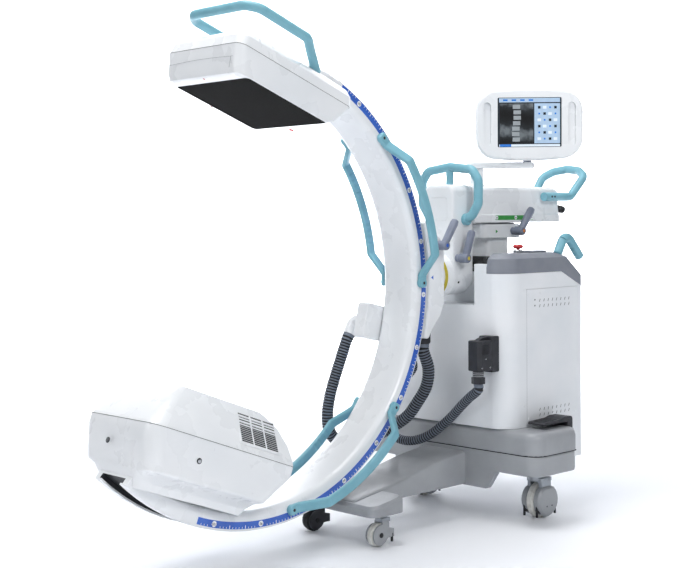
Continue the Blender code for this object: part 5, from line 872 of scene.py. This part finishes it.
def makeAngulationScale():
    cx, cy, cz = angulation["centre"]
    film = bmesh.new()
    ticks = bmesh.new()
    for middle in (180, 0):
        start = middle - angulation["span"]
        end = middle + angulation["span"]
        rows = []
        for k in range(33):
            a = math.radians(start + (end - start) * k / 32)
            ring = []
            for r, x in ((angulation["low"], 0.0002), (angulation["high"], 0.0002), (angulation["high"], -0.0006),
                         (angulation["low"], -0.0006)):
                ring.append(Vector((cx + x, cy + r * math.cos(a), cz + r * math.sin(a))))
            rows.append(addRing(film, ring))
        for first, second in zip(rows, rows[1:]):
            for k in range(4):
                film.faces.new((first[k], first[(k + 1) % 4], second[(k + 1) % 4], second[k]))
        film.faces.new(rows[0])
        film.faces.new(rows[-1])
        for k in range(1, 16):
            a = math.radians(start + (end - start) * k / 16)
            r = angulation["high"] - (0.0045 if k % 2 else 0.0032)
            out = Vector((0, math.cos(a), math.sin(a)))
            spot = Vector((cx - 0.0005, cy, cz)) + out * r
            boxOn(ticks, spot, out, (0, -out.z, out.y),
                  (0.0070 if k % 2 == 0 else 0.0045, 0.0010, 0.0004),
                  0.1)
    wear(settle(fromMesh(film, "angulation_scale")), "inkYellow", "carriage_unit")
    wear(settle(fromMesh(ticks, "angulation_ticks")), "inkDarkAndShade", "carriage_unit")
    pointer = bmesh.new()
    for y, out in ((-0.085, left), (0.085, right)):
        sunk = y + (0.0004 if y < 0 else -0.0004)
        low = [Vector((x, sunk, z)) for x, z in ((0.1680, 0.840), (0.1790, 0.847), (0.1790, 0.833))]
        high = [p + Vector(out) * 0.0010 for p in low]
        plateOn(pointer, low, low, high)
    wear(settle(fromMesh(pointer, "orbital_pointer")), "inkBlue", "carriage_unit")


makeAngulationScale()

# Grips on the C: a flat bar that bends out from two feet, finger hollows on the side that faces the C
grips = {"upper_grip": (63.8, 20.1), "lower_grip": (-16.2, -61.2), "radius": 0.683, "seat": 0.0768, "out": 0.072,
         "wide": 0.016, "thick": 0.009, "foot": 3.99, "slope": 5.985}


def softBar(path, acrossAt, wide, thick, hollows, power, name):
    # One ring at each point of the path; the ends close in a small curve, hollows press in the inner side
    walked = [0.0]
    for a, b in zip(path, path[1:]):
        walked.append(walked[-1] + (b - a).length)
    rings = []
    for k, place in enumerate(path):
        way = (path[min(k + 1, len(path) - 1)] - path[max(k - 1, 0)]).normalized()
        across, outward = acrossAt(place)
        side = (across - way * across.dot(way)).normalized()
        rise = way.cross(side)
        if rise.dot(outward) < 0:
            rise = -rise
        near = min(walked[k], walked[-1] - walked[k])
        close = math.sqrt(max(0.0, 1 - max(0.0, 1 - near / 0.007) ** 2)) if near < 0.007 else 1.0
        close = max(close, 0.12)
        dent = 0.0
        for spot in hollows:
            gap = (place - spot).length
            if gap < 0.0058:
                dent = math.sqrt(0.0068 ** 2 - gap ** 2) - 0.0035
        ring = []
        for j in range(24):
            a = 2 * math.pi * j / 24
            c = math.copysign(abs(math.cos(a)) ** power, math.cos(a))
            d = math.copysign(abs(math.sin(a)) ** power, math.sin(a))
            depth = d * thick * close
            if depth < 0:
                depth = max(depth, -(thick - dent) * close)
            ring.append(place + side * c * wide * close + rise * depth)
        rings.append(ring)
    return settle(loft(rings, name), 50)


def makeGrip(name, side, word):
    first, last = (a - gantry["turn"] for a in grips[name])
    r = grips["radius"]
    seat = grips["seat"]
    bar = seat + grips["out"]
    foot = grips["foot"]
    slope = grips["slope"]
    knots = [(first + foot * 0.35, seat + 0.009), (first - foot * 0.4, seat + 0.009),
             (first - foot * 0.7, seat + 0.015), (first - slope - foot * 0.35, bar - 0.006),
             (first - slope - foot * 0.6, bar)]
    begin = first - slope - foot
    end = last + slope + foot
    middle = [(begin + (end - begin) * k / 6, bar) for k in range(7)]
    knots = knots + middle + [(last + first - a, y) for a, y in reversed(knots)]
    path = flowing([onC(r, a, side * y) for a, y in knots], 0.0022)
    hollows = [onC(r, start + way * (1.2 + 1.9 * k), side * bar) for start, way in ((begin, -1), (end, 1))
               for k in range(4)]

    def acrossAt(place):
        radial = place - gantry["centre"]
        return Vector((radial.x, 0, radial.z)).normalized(), Vector((0, side, 0))

    made = softBar(path, acrossAt, grips["wide"], grips["thick"], hollows, 0.62, name + "_" + word + "_bar")
    wear(made, "softTouchTeal", "c_arm")
    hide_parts(name + "_" + word)
    feet = bmesh.new()
    for angle in (first, last):
        turnedOn(feet, onC(r, angle, side * seat), (0, side, 0),
                 [(0.0155, 0.0), (0.0158, 0.006), (0.0150, 0.0165), (0.0125, 0.0184)], 28)
    wear(settle(fromMesh(feet, name + "_feet_" + word)), "softTouchTeal", "c_arm")
    makeDots(name + "_screws_" + word, [(onC(r, a, side * (seat + 0.0182)), (0, side, 0)) for a in (first, last)],
             "inkDarkAndShade", "c_arm", 0.0050, 0.0006)


for side, word in ((-1, "left"), (1, "right")):
    makeGrip("upper_grip", side, word)
    makeGrip("lower_grip", side, word)

# Loop and push handles: round bars along the centre lines that the source uses
frontLoop = {"x": 0.361, "half": [(0.0713, 1.035), (0.1013, 1.047), (0.1293, 1.087), (0.1303, 1.167),
                                  (0.1023, 1.205)], "top": 1.217, "radius": 0.016, "bend": 0.030}
rearLoop = {"half": [(0.784, 0.0853, 1.1143), (0.942, 0.0873, 1.1143), (1.014, 0.0983, 1.1923),
                     (1.034, 0.0603, 1.2143)], "top": (1.044, 0.0, 1.2223), "radius": 0.016, "bend": 0.030}
detectorLoop = {"half": [(-0.050, 0.105, 0.680), (-0.100, 0.122, 0.716), (-0.155, 0.155, 0.737),
                         (-0.350, 0.155, 0.737), (-0.380, 0.120, 0.737)], "radius": 0.015, "bend": 0.035}
pushGrip = {"points": [(0.644, 0.906), (0.692, 0.985), (0.780, 0.893)], "y": 0.250, "radius": 0.0165, "bend": 0.030}


def roundBar(points, bend, radius, hollows, name, body, node):
    path = bent(points, bend, 5)
    fine = [path[0]]
    for a, b in zip(path, path[1:]):
        steps = max(1, round((b - a).length / 0.003))
        fine.extend(a.lerp(b, k / steps) for k in range(1, steps + 1))
    if hollows:
        made = softBar(fine, lambda place: (Vector((0, 1, 0)), Vector((0.7, 0, 0.7))), radius, radius, hollows, 1.0,
                       name)
    else:
        made = settle(pipe(fine, [radius] * len(fine), 24, name), 50)
    wear(made, "softTouchTeal", body)
    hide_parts(node)


def makeLoops():
    x = frontLoop["x"]
    half = frontLoop["half"]
    points = [Vector((x, -y, z)) for y, z in half] + [Vector((x, 0, frontLoop["top"]))]
    points += [Vector((x, y, z)) for y, z in reversed(half)]
    roundBar(points, frontLoop["bend"], frontLoop["radius"], [], "front_loop_bar", "arm", "front_loop_handle")
    extras = bmesh.new()
    for side in (-1, 1):
        turnedOn(extras, (x, side * 0.0693, 1.034), (0, side, 0),
                 [(0.0205, 0.0), (0.0205, 0.0140), (0.0180, 0.0160)], 28)
    turnedOn(extras, (x, 0, 1.1553), (0, 0, 1),
             [(0.0165, 0.0), (0.0135, 0.0030), (0.0128, 0.0250), (0.0145, 0.0547)], 28)
    wear(settle(fromMesh(extras, "front_loop_feet")), "softTouchTeal", "arm")
    points = [Vector((x, -y, z)) for x, y, z in rearLoop["half"]] + [Vector(rearLoop["top"])]
    points += [Vector((x, y, z)) for x, y, z in reversed(rearLoop["half"])]
    roundBar(points, rearLoop["bend"], rearLoop["radius"], [], "rear_loop_bar", "arm", "rear_loop_handle")
    half = detectorLoop["half"]
    points = [onBeam(u, -y, w) for u, y, w in half] + [onBeam(u, y, w) for u, y, w in reversed(half)]
    roundBar(points, detectorLoop["bend"], detectorLoop["radius"], [], "detector_loop_bar", "c_arm",
             "detector_handle")
    for side, word in ((-1, "left"), (1, "right")):
        points = [Vector((x, side * pushGrip["y"], z)) for x, z in pushGrip["points"]]
        way = (points[2] - points[1]).normalized()
        hollows = [points[2] - way * (0.016 + 0.022 * k) for k in range(3)]
        roundBar(points, pushGrip["bend"], pushGrip["radius"], hollows, "push_grip_" + word, "cart",
                 "cart_handle_" + word)


makeLoops()
print("handles made")

# Tube unit: ring fasteners, grille plate with rows of painted shade for its slots, seam line, and the nose in front
# of the C's end
tube = {"fasteners": [((-0.137, -0.170, -0.542), (0, -1, 0)), ((-0.137, 0.170, -0.542), (0, 1, 0)),
                      ((-0.318, 0.020, -0.548), (-1, 0, 0))],
        "seam": -0.480, "front": -0.318, "rear": 0.218, "half": 0.170, "corner": 0.045, "rearCorner": 0.014,
        "grilleLow": (-0.158, -0.454), "grilleHigh": (-0.102, -0.374), "bars": 15, "columns": 3}


# A thin dark line round a shell where its two halves meet
def seamLine(bm, front, rear, half, corner, rearCorner, low, high, out):
    outline = []
    for cu, cy, r, first in ((rear - rearCorner, half - rearCorner, rearCorner, 0),
                             (front + corner, half - corner, corner, 90),
                             (front + corner, -half + corner, corner, 180),
                             (rear - rearCorner, -half + rearCorner, rearCorner, 270)):
        for k in range(7):
            a = math.radians(first + 15 * k)
            outline.append((cu + (r + out) * math.cos(a), cy + (r + out) * math.sin(a)))
    rows = [addRing(bm, [onBeam(u, y, w) for u, y in outline]) for w in (low, high)]
    count = len(outline)
    for k in range(count):
        bm.faces.new((rows[0][k], rows[0][(k + 1) % count], rows[1][(k + 1) % count], rows[1][k]))
    bm.faces.new(rows[0])
    bm.faces.new(rows[1])


def makeTubeDetails():
    rims = bmesh.new()
    cores = bmesh.new()
    for spot, out in tube["fasteners"]:
        place = onBeam(*spot)
        way = beamWay(*out)
        turnedOn(rims, place - way * 0.0005, way, [(0.0085, 0.0), (0.0085, 0.0016), (0.0070, 0.0022)], 28)
        turnedOn(cores, place + way * 0.0014, way, [(0.0058, 0.0), (0.0058, 0.0009), (0.0040, 0.0013)], 24)
    wear(settle(fromMesh(rims, "tube_fastener_rims")), "filledNylon", "c_arm")
    wear(settle(fromMesh(cores, "tube_fastener_cores")), "turnedStainless", "c_arm")
    # The grille: an inset plate over the source's slots, with finer dark rows as the photograph shows them, painted
    # shade where the slots' openings would be
    plate = bmesh.new()
    bars = bmesh.new()
    low = Vector((0, *tube["grilleLow"]))
    high = Vector((0, *tube["grilleHigh"]))
    along = (high - low).normalized()
    out = Vector((0, -along.z, along.y))
    length = (high - low).length
    middle = (low + high) / 2 + Vector((0.0755, 0, 0)) - out * 0.0002
    boxOn(plate, onBeam(*middle), beamWay(1, 0, 0), beamWay(*along), (0.156, length + 0.014, 0.0026), 0.6)
    for column in range(tube["columns"]):
        for row in range(tube["bars"]):
            spot = low + along * (length * (row + 0.5) / tube["bars"])
            spot = spot + Vector((0.0255 + column * 0.050, 0, 0)) + out * 0.0021
            boxOn(bars, onBeam(*spot), beamWay(1, 0, 0), beamWay(*along), (0.0440, 0.0050, 0.0005), 0.3)
    wear(settle(fromMesh(plate, "grille_plate")), "sprayedEnamel", "c_arm")
    wear(settle(fromMesh(bars, "grille_bars")), "inkDarkAndShade", "c_arm")
    seam = bmesh.new()
    seamLine(seam, tube["front"], tube["rear"], tube["half"], tube["corner"], tube["rearCorner"],
             tube["seam"] - 0.0009, tube["seam"] + 0.0003, 0.0003)
    wear(settle(fromMesh(seam, "tube_seam")), "inkDarkAndShade", "c_arm")
    # The nose closes the shell in front of the C's end
    levels = ((-0.560, 0.0165), (-0.600, 0.0310), (-0.606, 0.0320), (-0.616, 0.0380), (-0.630, 0.0440),
              (-0.634, 0.0480))
    rings = []
    for w, inset in levels:
        u = tube["front"] + inset
        rings.append([onBeam(u, -0.0773, w), onBeam(u, 0.0773, w), onBeam(u + 0.030, 0.0773, w),
                      onBeam(u + 0.030, -0.0773, w)])
    wear(settle(loft(rings, "tube_nose"), 30), "sprayedEnamel", "c_arm")


makeTubeDetails()

# Detector: laser windows at the rim, seam line round the housing, and the line of the front flap
detector = {"seam": 0.606, "front": -0.400, "rear": 0.062, "half": 0.178, "corner": 0.030, "rearCorner": 0.018,
            "tab": 0.568, "face": 0.526}


def makeDetectorDetails():
    windows = bmesh.new()
    for u, y, r in ((0.016, 0.020, 0.0075), (-0.190, 0.1738, 0.0035), (-0.362, 0.0, 0.0040)):
        turnedOn(windows, onBeam(u, y, detector["face"] - 0.0010), beamWay(0, 0, -1),
                 [(r, -0.002), (r, 0.0008), (r * 0.8, 0.0014)], 24)
    wear(settle(fromMesh(windows, "laser_windows")), "redPhenolic", "c_arm")
    seam = bmesh.new()
    seamLine(seam, detector["front"], detector["rear"], detector["half"], detector["corner"],
             detector["rearCorner"], detector["seam"] - 0.0008, detector["seam"] + 0.0003, 0.0003)
    wear(settle(fromMesh(seam, "detector_seam")), "inkDarkAndShade", "c_arm")
    # The front wall's service flap: a fine line across it, and down at its near end
    flap = bmesh.new()
    front = detector["front"] + 0.0074
    for k in range(16):
        y = -0.140 + 0.280 * k / 15
        rise = 0.004 * math.sin(math.pi * k / 15)
        boxOn(flap, onBeam(front - 0.0004, y, detector["tab"] + rise), beamWay(0, 1, 0), beamWay(0, 0, 1),
              (0.0196, 0.0010, 0.0006), 0.2)
    for k in range(4):
        boxOn(flap, onBeam(front + 0.0012 + 0.0012 * k, -0.1402, detector["tab"] - 0.004 - 0.008 * k),
              beamWay(0.12, 0, -1), beamWay(0, 1, 0), (0.0085, 0.0010, 0.0010), 0.2)
    wear(settle(fromMesh(flap, "detector_flap_line")), "castGrey", "c_arm")


makeDetectorDetails()

# Connector: finger ribs, side screws and the neck's rings
plug = {"x": (0.2284, 0.2904), "y": (-0.246, -0.191)}


def makePlugDetails():
    ribs = bmesh.new()
    for k in range(6):
        boxOn(ribs, (0.2395 + 0.0072 * k, plug["y"][0] - 0.0002, 0.6005), (0, 0, 1), (-1, 0, 0),
              (0.034, 0.0032, 0.0018), 0.5)
    for k in range(4):
        boxOn(ribs, (plug["x"][0] + 0.0002, -0.2175, 0.548 + 0.011 * k), (0, 1, 0), (0, 0, 1),
              (0.030, 0.0040, 0.0016), 0.5)
    wear(settle(fromMesh(ribs, "plug_ribs")), "filledNylon", "cart")
    spots = [((x, plug["y"][0], z), left) for x, z in ((0.2400, 0.5400), (0.2820, 0.5400), (0.2600, 0.5700))]
    makeScrews("plug_screws", spots, "turnedStainless", "cart", 0.0034)
    rings = bmesh.new()
    for k in range(3):
        turnedOn(rings, (0.2519, -0.2185, 0.5245 - 0.0060 * k), (0, 0, -1),
                 [(0.0180, 0), (0.0194, 0.0008), (0.0194, 0.0024), (0.0180, 0.0032)], 32)
    wear(settle(fromMesh(rings, "plug_neck_rings")), "castGrey", "cart")


makePlugDetails()

# Casters: screws, bracket bolts and hub caps
caster = {"rearX": 0.516, "rearY": 0.270, "frontX": -0.164, "frontY": 0.150, "frontZ": 0.0375}
for side, word in ((-1, "left"), (1, "right")):
    y = side * caster["rearY"]
    face = 0.014 + 0.002 + 0.026
    for way in (-1, 1):
        out = (0, way, 0)
        makeDots("caster_screws_" + word + ("_in" if way == -side else "_out"),
                 [((caster["rearX"] + dx, y + way * face, 0.044), out) for dx in (-0.013, 0.015)], "inkDarkAndShade",
                 "rear_caster_" + word, 0.0028)
    makeDots("bracket_bolts_" + word, [((0.506, y + side * 0.0322, 0.134), (0, side, 0)),
                                       ((0.529, y + side * 0.0322, 0.134), (0, side, 0))], "zincPlate",
             "rear_caster_" + word, 0.0035, 0.0016, 6)
    hub = bmesh.new()
    for way in (-1, 1):
        turnedOn(hub, (caster["frontX"], side * caster["frontY"] + way * 0.0189, caster["frontZ"]), (0, way, 0),
                 [(0.0082, 0), (0.0082, 0.0014), (0.0066, 0.0022)], 24)
    wear(settle(fromMesh(hub, "front_hub_caps_" + word)), "blackRubberAndShade", "front_caster_" + word)

# Monitor: the picture with its pale column, the field of tiles, and the bars, laid on the glass
monitor = {"post": 0.506, "turn": -43.9, "away": 0.180, "z": 1.373, "front": -0.0643}


def onMonitor(a, depth, b):
    turn = Matrix.Translation((monitor["post"], 0, 0)) @ Matrix.Rotation(math.radians(monitor["turn"]), 4, "Z")
    return turn @ Vector((monitor["away"] + a, monitor["front"] - depth, monitor["z"] + b))


def makeScreen():
    turn = Matrix.Rotation(math.radians(monitor["turn"]), 3, "Z")
    along = turn @ Vector((1, 0, 0))
    up = Vector((0, 0, 1))

    def tile(bm, a, b, wide, high, rise=0.0004):
        boxOn(bm, onMonitor(a, 0.0, b), along, up, (wide, high, rise), 0.3)

    picture = bmesh.new()
    tile(picture, -0.046, -0.004, 0.118, 0.140)
    wear(settle(fromMesh(picture, "screen_picture")), "litDisplay", "monitor")
    spine = bmesh.new()
    for row in range(7):
        tile(spine, -0.046 + 0.003 * math.sin(row), 0.054 - row * 0.0190, 0.026, 0.0140, 0.0006)
    wear(settle(fromMesh(spine, "screen_spine")), "tileBone", "monitor")
    sky = bmesh.new()
    tile(sky, 0.062, -0.004, 0.090, 0.140)
    tile(sky, 0.0, 0.0775, 0.214, 0.0150)
    wear(settle(fromMesh(sky, "screen_fields")), "tileSky", "monitor")
    pale = bmesh.new()
    steel = bmesh.new()
    tab = bmesh.new()
    tile(pale, 0.0, -0.0810, 0.214, 0.0080)
    tile(tab, -0.085, -0.0810, 0.040, 0.0080, 0.0007)
    for column in range(4):
        for row in range(6):
            place = (0.034 + column * 0.0190, 0.052 - row * 0.0220)
            kinds = ((steel, 0.0090, 0.0090), (pale, 0.0130, 0.0100), (tab, 0.0060, 0.0060))
            bm, wide, high = kinds[(column + 2 * row) % 3]
            tile(bm, *place, wide, high, 0.0007)
    for k in range(4):
        tile(tab, -0.085 + 0.030 * k, 0.0775, 0.016, 0.0060, 0.0007)
    wear(settle(fromMesh(pale, "screen_tiles")), "tilePale", "monitor")
    wear(settle(fromMesh(steel, "screen_marks")), "tileNight", "monitor")
    wear(settle(fromMesh(tab, "screen_tabs")), "tileSteel", "monitor")


makeScreen()
print("details made")

# Floor, backdrop and light
studio = {"floor": "F2F4F8", "world": 0.30}


def makeStudio():
    # Pale painted floor that rises into the backdrop in one curve, lightly mottled
    material, tree, shader, place = startMaterial("paintedSweep")
    mottle = addNode(tree, "ShaderNodeTexNoise", {"Scale": 1.3, "Detail": 3.0}, {"Vector": place})
    tones = addNode(tree, "ShaderNodeValToRGB", links={"Fac": mottle.outputs["Fac"]})
    tones.color_ramp.elements[0].color = linear(studio["floor"])
    tones.color_ramp.elements[1].color = linear("F4F6FA")
    tree.links.new(tones.outputs["Color"], shader.inputs["Base Color"])
    shader.inputs["Roughness"].default_value = 0.7
    profile = [(-8.0, 0.0), (4.0, 0.0)]
    for k in range(1, 13):
        a = math.radians(90 * k / 12)
        profile.append((4.0 + 4.0 * math.sin(a), 4.0 - 4.0 * math.cos(a)))
    profile.append((8.0, 14.0))
    yaw = math.radians(camera["yaw"])
    ahead = Vector((math.cos(yaw), math.sin(yaw), 0))
    across = Vector((math.sin(yaw), -math.cos(yaw), 0))
    bm = bmesh.new()
    rows = [addRing(bm, [ahead * d + across * s + Vector((0, 0, z)) for s in (-14, 14)]) for d, z in profile]
    for first, second in zip(rows, rows[1:]):
        bm.faces.new((first[0], first[1], second[1], second[0]))
    floor = fromMesh(bm, "floor_sweep")
    floor.data.materials.append(material)
    floor.data.shade_smooth()
    world = bpy.data.worlds.new("softRoom")
    world.use_nodes = True
    world.node_tree.nodes["Background"].inputs["Color"].default_value = linear("F3F6FA")
    world.node_tree.nodes["Background"].inputs["Strength"].default_value = studio["world"]
    bpy.context.scene.world = world
    bpy.context.scene.view_settings.view_transform = "Standard"  # keeps the whites white, as in the photograph
    # Key from the photographer's right, a wide top light, a fill from the left, and two lamps on the backdrop
    lamps = {"key": ((-1.6, -4.2, 3.2), 1.3, 84.0, (0.0, 0.0, 0.8)),
             "top": ((-0.8, 0.2, 4.6), 2.2, 135.0, (-0.1, 0.0, 0.3)),
             "fill": ((-4.8, 0.6, 2.0), 2.4, 26.0, (0.0, 0.0, 0.7)),
             "backLeft": ((0.2, 4.4, 3.0), 3.0, 700.0, (3.4, 7.0, 0.9)),
             "backRight": ((4.6, 0.0, 3.0), 3.0, 700.0, (7.2, 3.2, 0.9))}
    for name, (spot, size, power, target) in lamps.items():
        data = bpy.data.lights.new(name, "AREA")
        data.size = size
        data.energy = power
        lamp = bpy.data.objects.new(name, data)
        aim = Vector(target) - Vector(spot)
        lamp.matrix_world = Matrix.Translation(spot) @ aim.to_track_quat("-Z", "Y").to_matrix().to_4x4()
        bpy.context.scene.collection.objects.link(lamp)


makeStudio()
print("studio made")
